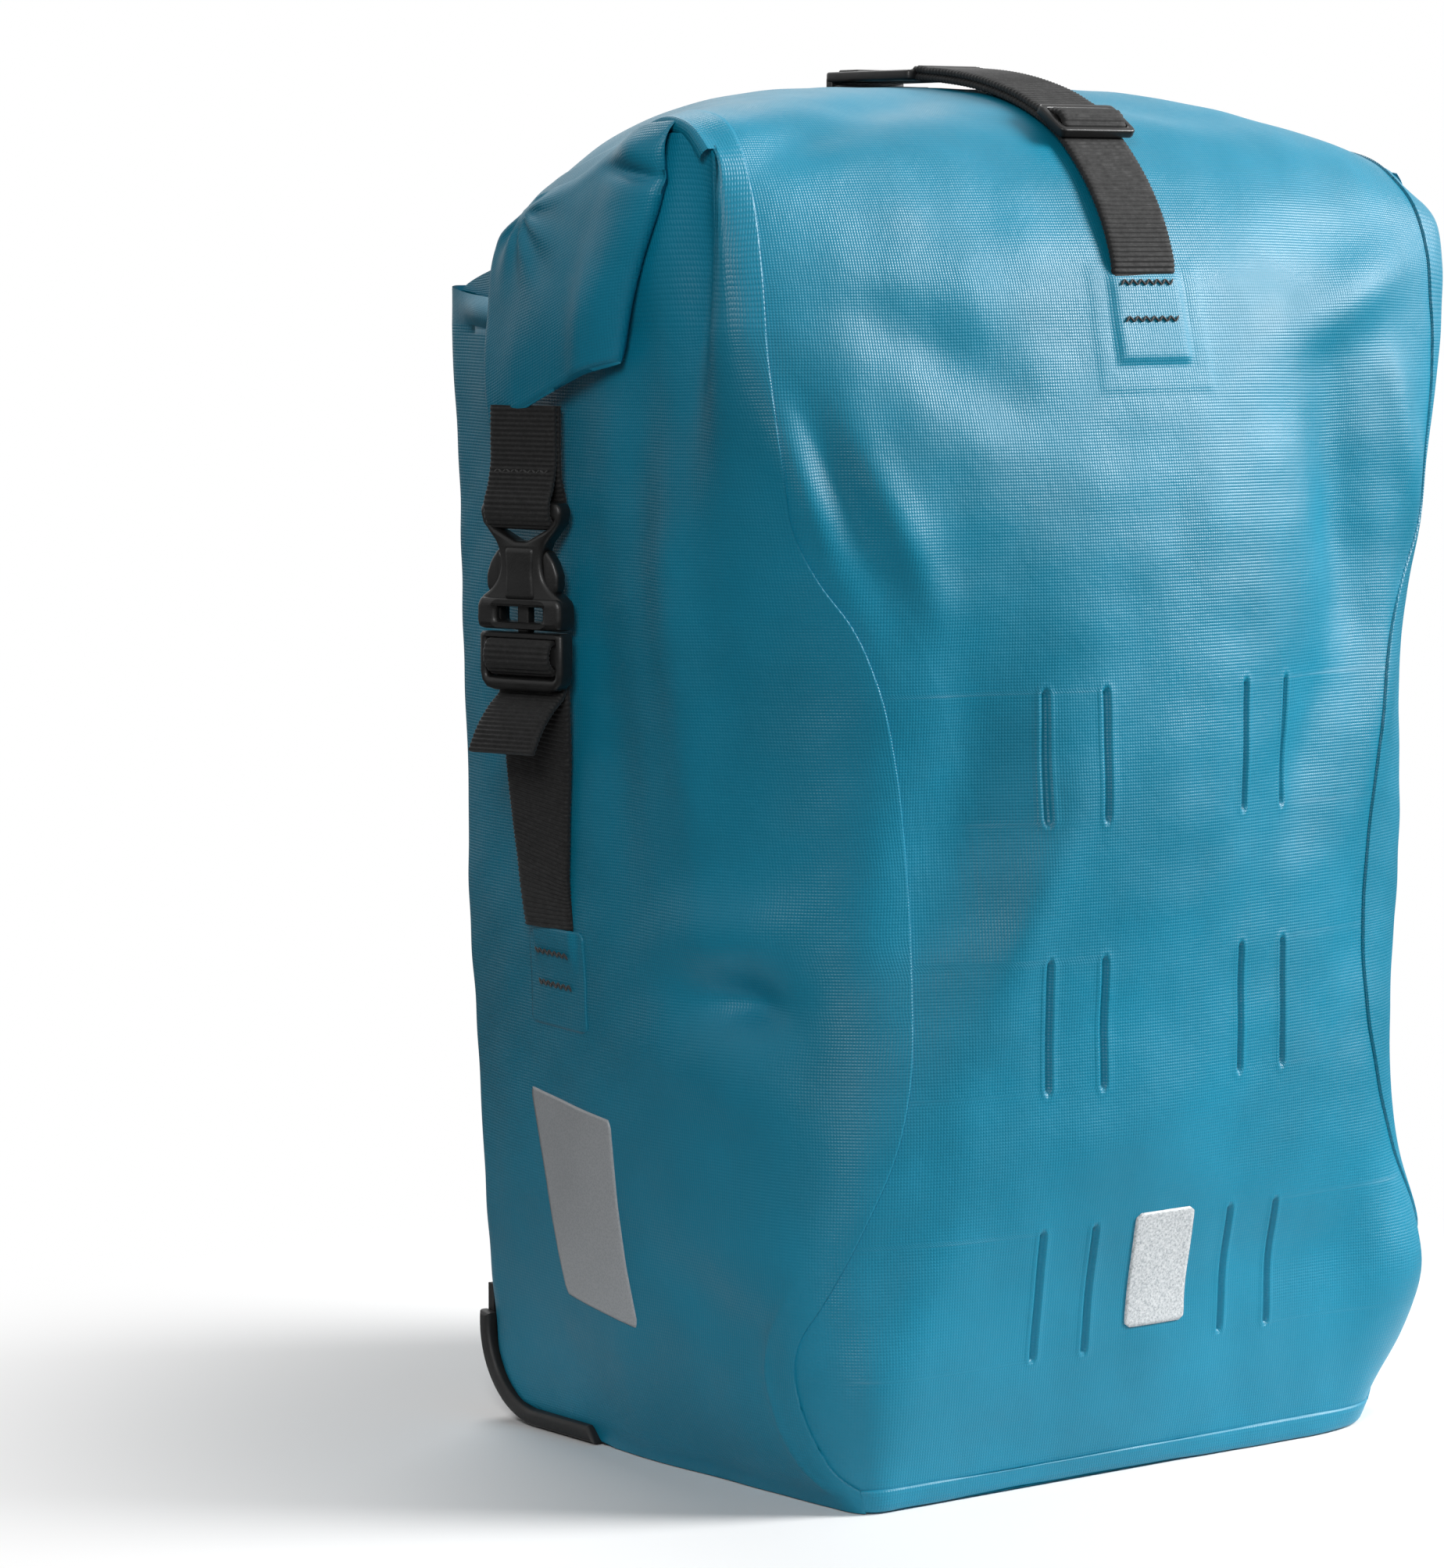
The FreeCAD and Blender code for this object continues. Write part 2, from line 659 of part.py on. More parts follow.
def make_lower_hook(up):
    """A hook that turns about the carriage post and reaches behind the rack's stay."""
    face = f"{LOWER_FACE} + side_gap * 2 + 3"
    disc = rod("lower_hook_disc", ("0", face, up), "swivel_radius + 6", "lower_hook_wall", "y")
    arm = box("lower_hook_arm", ("0", face, f"{up} - 8"),
              ("lower_hook_reach", "lower_hook_wall", "16"))
    riser = box("lower_hook_riser", ("lower_hook_reach - 5", face, f"{up} - 8"),
                ("5", "lower_hook_wall + lower_hook_gap + 4", "16"))
    finger = box("lower_hook_finger", ("lower_hook_reach - 24", f"{face} + lower_hook_wall + lower_hook_gap",
                                       f"{up} - 8"), ("24", "4", "16"))
    bore = rod("lower_hook_bore", ("0", f"{face} - 1", up), "swivel_radius + running_fit",
               "lower_hook_wall + 2", "y")
    node(cut("lower_hook_cut", join("lower_hook_blank", [disc, arm, riser, finger]), [bore]),
         "lower_hook")


# ---------------------------------------------------------------- reflectors and welded patches

def heights(low, high, count=3):
    return [between(low, high, at / (count - 1)) for at in range(count)]


def level_patch(point_at, middle, half, low_high, lift, thickness, count=3):
    """A patch with upright edges, a half width to each side of its middle."""
    span = (middle - half, middle + half)
    return patch(point_at, span, span, heights(*low_high, count), lift, thickness)


THREAD = 1.2


def thread_row(point_at, middle, half, height):
    """A row of stitching that stands on a welded patch."""
    lift = size("seat_gap") + size("patch_fabric")
    return level_patch(point_at, middle, half, (height, height + THREAD), lift, 0.8, 2)


def make_patches():
    lift, thick, film = size("seat_gap"), size("patch_fabric"), 0.5
    label_low, label_high = size("label_low"), size("label_high")
    node(shaped("front_label", level_patch(front_point, 0, 12, (label_low, label_high), lift, film)),
         "front_reflector")
    strap_foot, rim = size("strap_foot"), size("rim_height")
    node(shaped("strap_patch", level_patch(front_point, 0, 19, (strap_foot - 37, rim - 0.6), lift, thick)),
         "strap_anchor_patch")
    rows = [thread_row(front_point, 0, 10, strap_foot - drop) for drop in (15, 24)]
    node(shaped("strap_thread", Part.makeCompound(rows)), "strap_anchor_stitching")
    threads = []
    foot, middle = size("anchor_height"), size("anchor_set_back")
    for name, hand in SIDES:
        def point_at(along, height, rise, hand=hand):
            return side_point(hand, along, height, rise)
        sheet = level_patch(point_at, middle, 19, (foot - 24, foot + 8), lift, thick)
        node(shaped(f"{name}_patch", sheet), f"{name}_anchor_patch")
        mark = patch(point_at, (1, 41), (8, 56), heights(size("mark_low"), size("mark_high"), 5), lift, film)
        node(shaped(f"{name}_mark", mark), f"{name}_reflector")
        threads += [thread_row(point_at, middle, 10, foot - drop) for drop in (2, 12)]
    node(shaped("side_thread", Part.makeCompound(threads)), "side_anchor_stitching")


# ---------------------------------------------------------------- roll-top closure

CLOSURE_SHARES = (
    # height, half width and front reach against the rim's, bulge, back reach, side bulge
    (0.006, 1.00, 1.00, 18, 1.00, 3.5),
    (0.31, 1.01, 0.97, 11, 0.86, 3),
    (0.57, 1.00, 0.88, 6, 0.69, 2),
    (0.79, 0.91, 0.63, 6, 0.55, 2),
    (0.91, 0.82, 0.41, 4, 0.45, 2),
    (1.00, 0.66, 0.08, 2, 0.34, 2),
)


def closure_level(height, width, front, bulge, back, side):
    half_back = between(RIM.half_back, RIM.half_front * width, min(1.0, height * 1.2))
    return Level(RIM.height + size("closure_height") * height, RIM.half_front * width,
                 RIM.front * front, bulge, half_back, RIM.back * back, side)


def make_closure():
    levels = [closure_level(*shares) for shares in CLOSURE_SHARES]
    outer = strip_loft([level.outline() for level in levels])
    inner_levels = [level.inset(FABRIC) for level in levels]
    inner_levels[0].height -= 1
    inner_levels[-1].height -= FABRIC
    inner = strip_loft([level.outline() for level in inner_levels])
    node(cut("closure_cap", shaped("cap_outer", outer), [shaped("cap_inner", inner)]), "roll_top")
    make_roll()
    for name, hand in SIDES:
        make_flap(name, hand)


def make_roll():
    """The layers rolled up under the crown, flattened round the stiffener strip."""
    half, fore, aft = "rim_width * 0.31", "5", "26"
    under = "rim_height + closure_height - fabric - seat_gap - roll_thickness"
    layers = box("roll_block", (f"-{half}", f"-{fore}", under), (f"2 * {half}", f"{fore} + {aft}", "roll_thickness"))
    hollow = box("roll_hollow", (f"-{half} + 4", f"-{fore} + 4", f"{under} + roll_thickness / 2 - 1.3"),
                 (f"2 * {half} - 8", f"{fore} + {aft} - 8", "2.6"))
    node(cut("rolled", layers, [hollow]), "rolled_layers")
    node(box("strip_bar", (f"-{half} + 4.4", f"-{fore} + 4.4", f"{under} + roll_thickness / 2 - 1"),
             (f"2 * {half} - 8.8", f"{fore} + {aft} - 8.8", "2")), "stiffener_strip")


def make_flap(name, hand):
    """The folded end of the roll, which hangs over the side, and the webbing sewn in it."""
    top = size("rim_height") + size("closure_height") * 0.57
    chain = [(0.0, 1, -44, 4), (5.5, -5, -46, 8), (7.5, -17, -44, 24), (7.0, -39, -38, 27),
             (5.5, -58, -34, 28), (4.0, -76, -32, 29)]
    wires = []
    for rise, drop, fore, aft in chain:
        near = hand * (RIM.half_front + rise)
        far = near + hand * size("flap_thickness")
        ring = [Vector(near, fore, top + drop), Vector(near, aft, top + drop),
                Vector(far, aft, top + drop), Vector(far, fore, top + drop)]
        wires.append(Part.makePolygon(ring + ring[:1]))
    node(shaped(f"{name}_flap_fold", strip_loft(wires)), f"{name}_end_flap")


# ---------------------------------------------------------------- buckles

def buckle_frame(hand):
    """Local +X is away from the bag, +Y across the webbing, +Z up, from the socket's mouth."""
    turn = 180 + size("buckle_turn") if hand < 0 else -size("buckle_turn")
    origin = (f"{hand} * buckle_reach", "buckle_set_back", "buckle_mouth")
    return origin, FreeCAD.Rotation(Vector(0, 0, 1), turn)


def seat(part, hand):
    """Move a finished piece from the buckle's own frame to its place."""
    origin, rotation = buckle_frame(hand)
    return place(part, origin, rotation)


def make_socket(name, hand):
    half, deep = "(webbing / 2 + buckle_side)", "buckle_thickness / 2"
    collar = box(f"{name}_collar", (f"-{deep}", f"-{half}", "0"), ("buckle_thickness", f"2 * {half}", "10"))
    spine = box(f"{name}_spine", (f"-{deep}", "-6.5", "8"), ("buckle_thickness", "13", "20"))
    head = box(f"{name}_head", (f"-{deep} + 1", f"-{half} + 1", "26"),
               ("buckle_thickness - 2", f"2 * {half} - 2", "socket_length - 26"))
    cavity = box(f"{name}_cavity", ("-prong_thickness / 2 - cavity_side", "-prong_inset - cavity_side", "-1"),
                 ("prong_thickness + 2 * cavity_side", "2 * prong_inset + 2 * cavity_side", "prong_length + 2.5"))
    slot = box(f"{name}_webbing_slot", (f"-{deep} - 1", "-webbing / 2 - 0.5", "socket_length - 9.5"),
               ("buckle_thickness + 2", "webbing + 1", "5"))
    seat(node(cut(f"{name}_socket_cut", join(f"{name}_socket_blank", [collar, spine, head]),
                  [cavity, slot]), f"{name}_socket"), hand)


def make_plug(name, hand):
    half, deep = "(webbing / 2 + buckle_side)", "buckle_thickness / 2"
    frame = box(f"{name}_ladder", (f"-{deep} + 0.5", f"-{half} + 0.6", "-plug_length - 0.6"),
                ("buckle_thickness - 1", f"2 * {half} - 1.2", "plug_length"))
    upper = box(f"{name}_upper_slot", (f"-{deep} - 1", "-webbing / 2 - 0.5", "-8"),
                ("buckle_thickness + 2", "webbing + 1", "3.6"))
    lower = box(f"{name}_lower_slot", (f"-{deep} - 1", "-webbing / 2 - 0.5", "-15.4"),
                ("buckle_thickness + 2", "webbing + 1", "4"))
    guide = box(f"{name}_guide", ("-prong_thickness / 2", "-2", "-0.7"), ("prong_thickness", "4", "18"))
    blank = join(f"{name}_plug_blank", [frame, guide])
    seat(node(cut(f"{name}_plug_cut", blank, [upper, lower]), f"{name}_plug"), hand)
    for end, side in (("front", -hand), ("rear", hand)):
        make_prong(name, hand, end, side)


def make_prong(name, hand, end, side):
    """A side prong: a slim leg with a wide head that the fingers press."""
    inset = "prong_inset"
    corners = [(f"{side} * ({inset} - 4.6)", "0.3"), (f"{side} * ({inset} - 0.4)", "0.3"),
               (f"{side} * ({inset} - 1.4)", "11"), (f"{side} * {inset}", "12.5"),
               (f"{side} * {inset}", "17"), (f"{side} * ({inset} - 4)", "prong_length"),
               (f"{side} * ({inset} - 6)", "prong_length - 2"), (f"{side} * ({inset} - 5)", "12")]
    body = profile_body(f"{name}_{end}_leg", "YZ_Plane", corners, "-prong_thickness / 2", "prong_thickness")
    origin, rotation = buckle_frame(hand)
    place(body, origin, rotation)
    node(body, f"{name}_{end}_prong")


def make_side_webbing(name, hand):
    thick, wide = size("webbing_thickness"), size("webbing")
    origin, rotation = buckle_frame(hand)
    middle = Vector(hand * size("buckle_reach"), size("buckle_set_back"), size("buckle_mouth"))
    out = rotation.multVec(Vector(1, 0, 0))
    wide_way = rotation.multVec(Vector(0, 1, 0))
    up = Vector(0, 0, 1)
    bar = size("socket_length") - 2.25
    loop = [middle + up * (bar + 44), middle + up * (bar + 22), middle + up * (bar + 5)]
    upper = ribbon(loop, [wide_way] * 3, thick * 2, wide)
    node(shaped(f"{name}_upper_webbing", upper), f"{name}_upper_strap")

    rise = size("buckle_thickness") / 2 + thick / 2 + 0.3
    foot = side_point(hand, size("anchor_set_back"), size("anchor_height") + 8,
                      size("seat_gap") + size("patch_fabric") + thick / 2 + 0.3)
    top = middle - out * rise - up * 4
    knee = middle - out * rise - up * 26
    bend = foot + (knee - foot) * 0.45 + Vector(hand * 0.8, 0, 0)
    aft = Vector(0, hand, 0)
    ways = [wide_way, wide_way, wide_way + aft, aft]
    node(shaped(f"{name}_lower_webbing", ribbon([top, knee, bend, foot], ways, thick, wide)),
         f"{name}_lower_strap")

    turn = middle - up * 11.0
    tail = [turn + out * 4.9 + up * 0.5, turn + out * 6.2 - up * 8, turn + out * 8.5 - up * 18,
            turn + out * 11.5 - up * 27]
    node(shaped(f"{name}_tail_webbing", ribbon(tail, [wide_way] * 4, thick, wide)),
         f"{name}_strap_tail")


# ---------------------------------------------------------------- top strap

STRAP_PATH = ((-91.4, 0.0), (-86.0, 14.0), (-77.5, 30.0), (-64.5, 44.0), (-42.0, 56.0),
              (-21.0, 62.5), (2.0, 66.5))


def strap_points(start, end, rise):
    """Centre points of the strap in side view, raised off its own line."""
    foot = size("strap_foot")
    points = [Vector(0, along, foot + up) for along, up in STRAP_PATH]
    raised = []
    for at in range(start, end):
        before, after = points[max(at - 1, 0)], points[min(at + 1, len(points) - 1)]
        run = (after - before).normalize()
        raised.append(points[at] + Vector(0, -run.z, run.y) * rise)
    return raised


def make_top_strap():
    thick, wide = size("webbing_thickness"), size("webbing")
    gap = 1.8
    lower = strap_points(0, 7, gap)
    across = [Vector(1, 0, 0)]
    node(shaped("strap_webbing", ribbon(lower, across * len(lower), thick, wide)), "top_strap")
    upper = strap_points(3, 7, gap + thick * 2.2)
    node(shaped("strap_fold", ribbon(upper, across * len(upper), thick, wide)), "strap_fold")
    make_glide(strap_points(3, 4, gap)[0])
    make_strap_hook(strap_points(6, 7, gap)[0])


def make_glide(centre):
    """Three-bar slider that holds the fold of the strap."""
    slope = math.degrees(math.atan2(26, 35.5))
    turn = FreeCAD.Rotation(Vector(1, 0, 0), slope)
    half = "(webbing / 2 + 2.6)"
    frame = box("glide_frame", (f"-{half}", "-glide_length / 2", "-3.4"), (f"2 * {half}", "glide_length", "10.2"))
    low = box("glide_low_slot", ("-webbing / 2 - 0.4", "-glide_length / 2 + 2", "-4"), ("webbing + 0.8", "3.6", "14"))
    high = box("glide_high_slot", ("-webbing / 2 - 0.4", "glide_length / 2 - 5.6", "-4"), ("webbing + 0.8", "3.6", "14"))
    tunnel = box("glide_tunnel", ("-webbing / 2 - 0.4", "-glide_length / 2 - 1", "-2.3"),
                 ("webbing + 0.8", "glide_length + 2", "7.9"))
    glide = node(cut("glide_cut", frame, [low, high, tunnel]), "tri_glide")
    place(glide, ("0", str(centre.y), str(centre.z)), turn)


def make_strap_hook(start):
    """Flat hook on the strap's end: a frame with a lip turned down behind the catch bar."""
    half = "(webbing / 2 + 3)"
    along = start.y + 0.4
    up = start.z - 1.9
    plate = box("hook_plate", (f"-{half}", str(along), str(up)), (f"2 * {half}", "strap_hook_length", "3.4"))
    window = box("hook_window", ("-webbing / 2", str(along + 9), str(up - 1)), ("webbing", "18", "6"))
    lip = box("hook_lip", (f"-{half}", f"{along} + strap_hook_length - 3", str(up - 9)),
              (f"2 * {half}", "3", "10"))
    node(cut("strap_hook_cut", join("strap_hook_blank", [plate, lip]), [window]), "strap_hook")
    bar_at = f"{along} + strap_hook_length - 9"
    bar = rod("catch_bar", (f"-{half} - 3", bar_at, str(up - 4.5)), "2", f"2 * {half} + 6", "x")
    legs = [box(f"catch_leg_{name}", (f"{hand} * ({half} + 3) - 1.5", f"{bar_at} - 2", str(up - 5.9)),
                ("3", "4", "1.4")) for name, hand in SIDES]
    node(join("catch_loop", [bar] + legs), "hook_loop")


# ---------------------------------------------------------------- assembly

make_panels()
make_guard()
make_board()
make_rail()
make_hooks()
make_lower_mount()
make_patches()
make_closure()
for side_name, side_hand in SIDES:
    make_socket(side_name, side_hand)
    make_plug(side_name, side_hand)
    make_side_webbing(side_name, side_hand)
make_top_strap()
doc.recompute()

failed = [item.Name for item in doc.Objects if "Invalid" in item.State or "Error" in item.State]
if failed:
    raise RuntimeError("objects that did not compute: " + ", ".join(failed))
for part in NODES:
    if part.Shape.isNull() or not part.Shape.isValid() or not part.Shape.Solids:
        raise RuntimeError(f"{part.Label} has no valid solid")

os.makedirs("parts", exist_ok=True)
for part in NODES:
    part.Shape.exportStep(f"parts/{part.Label}.step")
print(len(NODES), "nodes written")
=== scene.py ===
"""Looks for the roll-top pannier bag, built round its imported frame.

Lengths in the code are millimetres in the part's own frame (+Z up, -Y the outer face,
+X to the right) and become metres where a mesh is made.
"""

import math

import bmesh
import bpy
import numpy as np
from mathutils import Matrix, Vector
from mathutils.bvhtree import BVHTree


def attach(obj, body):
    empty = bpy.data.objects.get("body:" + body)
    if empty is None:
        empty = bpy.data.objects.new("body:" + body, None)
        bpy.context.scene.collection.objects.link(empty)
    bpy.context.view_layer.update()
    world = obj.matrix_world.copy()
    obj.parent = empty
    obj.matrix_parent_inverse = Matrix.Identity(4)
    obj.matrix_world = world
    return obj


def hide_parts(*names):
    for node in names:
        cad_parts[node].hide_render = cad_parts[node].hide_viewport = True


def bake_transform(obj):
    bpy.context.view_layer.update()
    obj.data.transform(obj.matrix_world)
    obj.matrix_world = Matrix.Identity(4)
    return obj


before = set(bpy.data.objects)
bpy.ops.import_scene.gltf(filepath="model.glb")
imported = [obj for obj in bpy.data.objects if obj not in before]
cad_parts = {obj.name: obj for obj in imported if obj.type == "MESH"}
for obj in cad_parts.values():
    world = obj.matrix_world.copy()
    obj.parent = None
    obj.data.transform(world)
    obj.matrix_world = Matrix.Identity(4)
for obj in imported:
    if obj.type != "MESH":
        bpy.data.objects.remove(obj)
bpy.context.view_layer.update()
MM = 0.001
SIDES = (("left", -1), ("right", 1))


# ---------------------------------------------------------------- curves and points

def track(points):
    """A smooth curve through a few chosen (place, value) points."""
    at, value = np.array(points, float).T
    slope = np.gradient(value, at)

    def curve(x):
        x = np.clip(x, at[0], at[-1])
        k = np.clip(np.searchsorted(at, x) - 1, 0, len(at) - 2)
        run = at[k + 1] - at[k]
        t = (x - at[k]) / run
        rise = (2 * t**3 - 3 * t**2 + 1) * value[k] + (3 * t**2 - 2 * t**3) * value[k + 1]
        return rise + run * ((t**3 - 2 * t**2 + t) * slope[k] + (t**3 - t**2) * slope[k + 1])
    return curve


def lerp(a, b, share):
    return a + (b - a) * share


def smooth(x, low, high):
    t = np.clip((x - low) / (high - low), 0, 1)
    return t * t * (3 - 2 * t)


def bend(a, b, c, count):
    """Points on the curve from a to c that b pulls towards itself."""
    t = np.linspace(0, 1, count)[:, None]
    return (1 - t)**2 * a + 2 * t * (1 - t) * b + t**2 * c


def path(points, count):
    """A smooth line through chosen points, evenly spaced along its length."""
    points = np.array(points, float)
    along = np.concatenate([[0], np.cumsum(np.linalg.norm(np.diff(points, axis=0), axis=1))])
    fine = np.linspace(0, along[-1], 400)
    line = np.stack([track(list(zip(along, column)))(fine) for column in points.T], -1)
    length = np.concatenate([[0], np.cumsum(np.linalg.norm(np.diff(line, axis=0), axis=1))])
    want = np.linspace(0, length[-1], count)
    return np.stack([np.interp(want, length, column) for column in line.T], -1)


# ---------------------------------------------------------------- meshes

GRID_WELD, PLATE_WELD = 0.00002, 0.00001  # metres
X_WAY, Y_WAY, Z_WAY = (1, 0, 0), (0, 1, 0), (0, 0, 1)


def linked(name, data):
    """A new object in the scene that shows data."""
    piece = bpy.data.objects.new(name, data)
    bpy.context.scene.collection.objects.link(piece)
    return piece


def mesh_piece(name, points, faces, uvs=None):
    """A smooth-shaded object from millimetre points."""
    mesh = bpy.data.meshes.new(name)
    mesh.from_pydata((np.asarray(points) * MM).tolist(), [], faces)
    mesh.polygons.foreach_set("use_smooth", [True] * len(mesh.polygons))
    if uvs is not None:
        layer = mesh.uv_layers.new(name="cloth")
        corner = np.empty(len(mesh.loops), int)
        mesh.loops.foreach_get("vertex_index", corner)
        layer.data.foreach_set("uv", (np.asarray(uvs)[corner] * MM).ravel())
    mesh.update()
    return linked(name, mesh)


def grid_faces(rows, columns, start=0, flip=False, ring=False):
    """Quads of a grid whose first point has index start; a ring's rows close on themselves."""
    faces = []
    last = columns if ring else columns - 1
    for row in range(rows - 1):
        for column in range(last):
            right = (column + 1) % columns
            quad = [start + row * columns + column, start + row * columns + right,
                    start + (row + 1) * columns + right, start + (row + 1) * columns + column]
            faces.append(quad[::-1] if flip else quad)
    return faces


def spread(grid):
    """Distances across and up a grid of points, for the weave to follow."""
    across = np.linalg.norm(np.diff(grid, axis=1), axis=2)
    up = np.linalg.norm(np.diff(grid, axis=0), axis=2)
    u = np.concatenate([np.zeros((len(grid), 1)), np.cumsum(across, axis=1)], axis=1)
    u -= u[:, [grid.shape[1] // 2]]
    middle = up[:, grid.shape[1] // 2]
    v = np.concatenate([[0], np.cumsum(middle)])[:, None] + np.zeros(grid.shape[1])
    return np.stack([u, v], -1)


def normals(grid):
    """Unit normals of a grid: across cross up."""
    across = np.gradient(grid, axis=1)
    up = np.gradient(grid, axis=0)
    out = np.cross(across, up)
    return out / np.maximum(np.linalg.norm(out, axis=2, keepdims=True), 1e-9)


def sheets_piece(name, grids):
    """One object from several grids of points, welded where their edges meet."""
    points, faces, uvs, start = [], [], [], 0
    for grid in grids:
        points.append(grid.reshape(-1, 3))
        uvs.append(spread(grid).reshape(-1, 2))
        faces += grid_faces(grid.shape[0], grid.shape[1], start)
        start += grid.shape[0] * grid.shape[1]
    piece = mesh_piece(name, np.concatenate(points), faces, np.concatenate(uvs))
    weld(piece, GRID_WELD)
    return piece


def weld(piece, distance, face_out=False):
    """Join the points that lie within distance, and if asked turn every face outwards."""
    made = bmesh.new()
    made.from_mesh(piece.data)
    bmesh.ops.remove_doubles(made, verts=made.verts, dist=distance)
    if face_out:
        bmesh.ops.recalc_face_normals(made, faces=made.faces)
    made.to_mesh(piece.data)
    made.free()


def mirrored(grid):
    """The same grid on the other side of the bag, still running the same way round."""
    other = grid[:, ::-1].copy()
    other[..., 0] *= -1
    return other


# ---------------------------------------------------------------- form of the bag

HALF_FRONT = track([(0, 108), (20, 116), (60, 120), (120, 117), (180, 118), (240, 126), (300, 138),
                    (350, 146), (410, 146)])
HALF_BACK = track([(0, 111.5), (60, 112.5), (120, 114), (240, 119), (300, 123), (362, 128), (410, 128)])
REAR = track([(0, 36), (3.2, 70), (5, 78), (10, 86), (20, 93), (30, 94.5), (410, 94.6)])
REACH = track([(0, 91), (30, 94), (60, 95), (160, 90), (240, 82), (300, 75), (344, 71), (378, 68), (410, 66)])
CROWN = track([(0, 0), (40, 3), (60, 5), (80, 8), (155, 17), (235, 25), (300, 27), (355, 21), (410, 16)])
CROWN_POWER = track([(0, 2), (260, 2), (350, 3.6), (410, 3.6)])
CORNER = {
    -1: track([(0, 11), (10, 17), (27, 25), (45, 31), (110, 44), (240, 44), (300, 24), (345, 8), (410, 5)]),
    1: track([(0, 30), (10, 30), (27, 28), (45, 28), (110, 36), (240, 42), (300, 24), (345, 8), (410, 5)]),
}
SIDE_SWELL = track([(0, 1), (60, 8), (120, 13), (250, 14), (310, 8), (364, 4), (410, 3)])
SEAM = track([(7, 0), (11, -6), (18, -10.5), (29, -15), (43, -18), (53, -14), (60, -9), (75, -0.5), (89, 6),
              (102, 11.5), (125, 17.5), (160, 20.5), (195, 22), (222, 23), (246, 22), (264, 18), (276, 12),
              (290, 8), (310, 9), (350, 12)])
BACK_ROUND = 8.0
WALL_TOP = 350.0
SEAM_FOOT = 7.0
HEM = 12.0
RIM_HALF = 146.0


def section(height, hand=-1):
    """One level's outline from the front's middle round to the back's middle, and its lengths.

    Lengths run from 0 at the front corner's apex, positive towards the front's middle.
    """
    wide, reach, rear, back = HALF_FRONT(height), REACH(height), HALF_BACK(height), REAR(height)
    crown, swell, turn = CROWN(height), SIDE_SWELL(height), CORNER[hand](height)
    deep = back + reach
    across = np.linspace(0, wide - turn, 60)
    head = np.stack([across, -reach - crown * (1 - (across / wide)**CROWN_POWER(height))], -1)
    share = np.linspace(turn / deep, 1 - BACK_ROUND / deep, 80)
    flank = np.stack([lerp(wide, rear, share) + swell * np.sin(np.pi * share), -reach + deep * share], -1)
    corner = bend(head[-1], np.array([wide, -reach]), flank[0], 25)
    heel = bend(flank[-1], np.array([rear, back]), np.array([rear - BACK_ROUND, back]), 9)
    line = np.concatenate([head, corner[1:-1], flank, heel[1:]])
    along = np.concatenate([[0], np.cumsum(np.linalg.norm(np.diff(line, axis=0), axis=1))])
    apex = len(head) + 11
    return line, along[apex] - along


def wall_row(height, lengths, hand=-1):
    """Points of one side's wall at a height, drawn on the left, at lengths from the corner's apex."""
    line, along = section(height, hand)
    x = np.interp(-np.asarray(lengths, float), -along, line[:, 0])
    y = np.interp(-np.asarray(lengths, float), -along, line[:, 1])
    return np.stack([-x, y, np.full(len(x), float(height))], -1)


CENTRE_LINE = [(-91.8, 350), (-88.5, 365), (-81, 382), (-70, 398), (-58, 409), (-38, 418), (-15, 423), (5, 424),
               (28, 422), (46, 416), (57, 407), (60, 397), (55, 389), (47, 385)]
LEFT_LINE = [(-70.5, 350), (-69, 370), (-67.5, 390), (-66, 402), (-59, 409), (-47, 411), (-20, 402), (5, 391),
             (20, 385), (33, 377), (31, 368), (20, 361)]
RIGHT_LINE = [(-70.5, 350), (-70, 368), (-67, 382), (-57, 393), (-42, 399), (-18, 398), (5, 390),
              (20, 385), (33, 377), (31, 368), (20, 361)]
TOP_ROWS = 90
TOP = {0: path(CENTRE_LINE, TOP_ROWS), -1: path(LEFT_LINE, TOP_ROWS), 1: path(RIGHT_LINE, TOP_ROWS)}
ENDS_PULL = 3.6
STEP_ROWS = 12.0


def top_line(share, hand):
    """The line over the top on one hand, at a share of the half width from the middle."""
    return lerp(TOP[0], TOP[hand], share**ENDS_PULL)


def top_grid(shares):
    """The sheet over the top, at shares of the half width from the left end (-1) to the right (1)."""
    grid = np.zeros((TOP_ROWS, len(shares), 3))
    for column, share in enumerate(shares):
        grid[:, column, 0] = share * RIM_HALF
        grid[:, column, 1:] = top_line(abs(share), -1 if share < 0 else 1)
    return grid


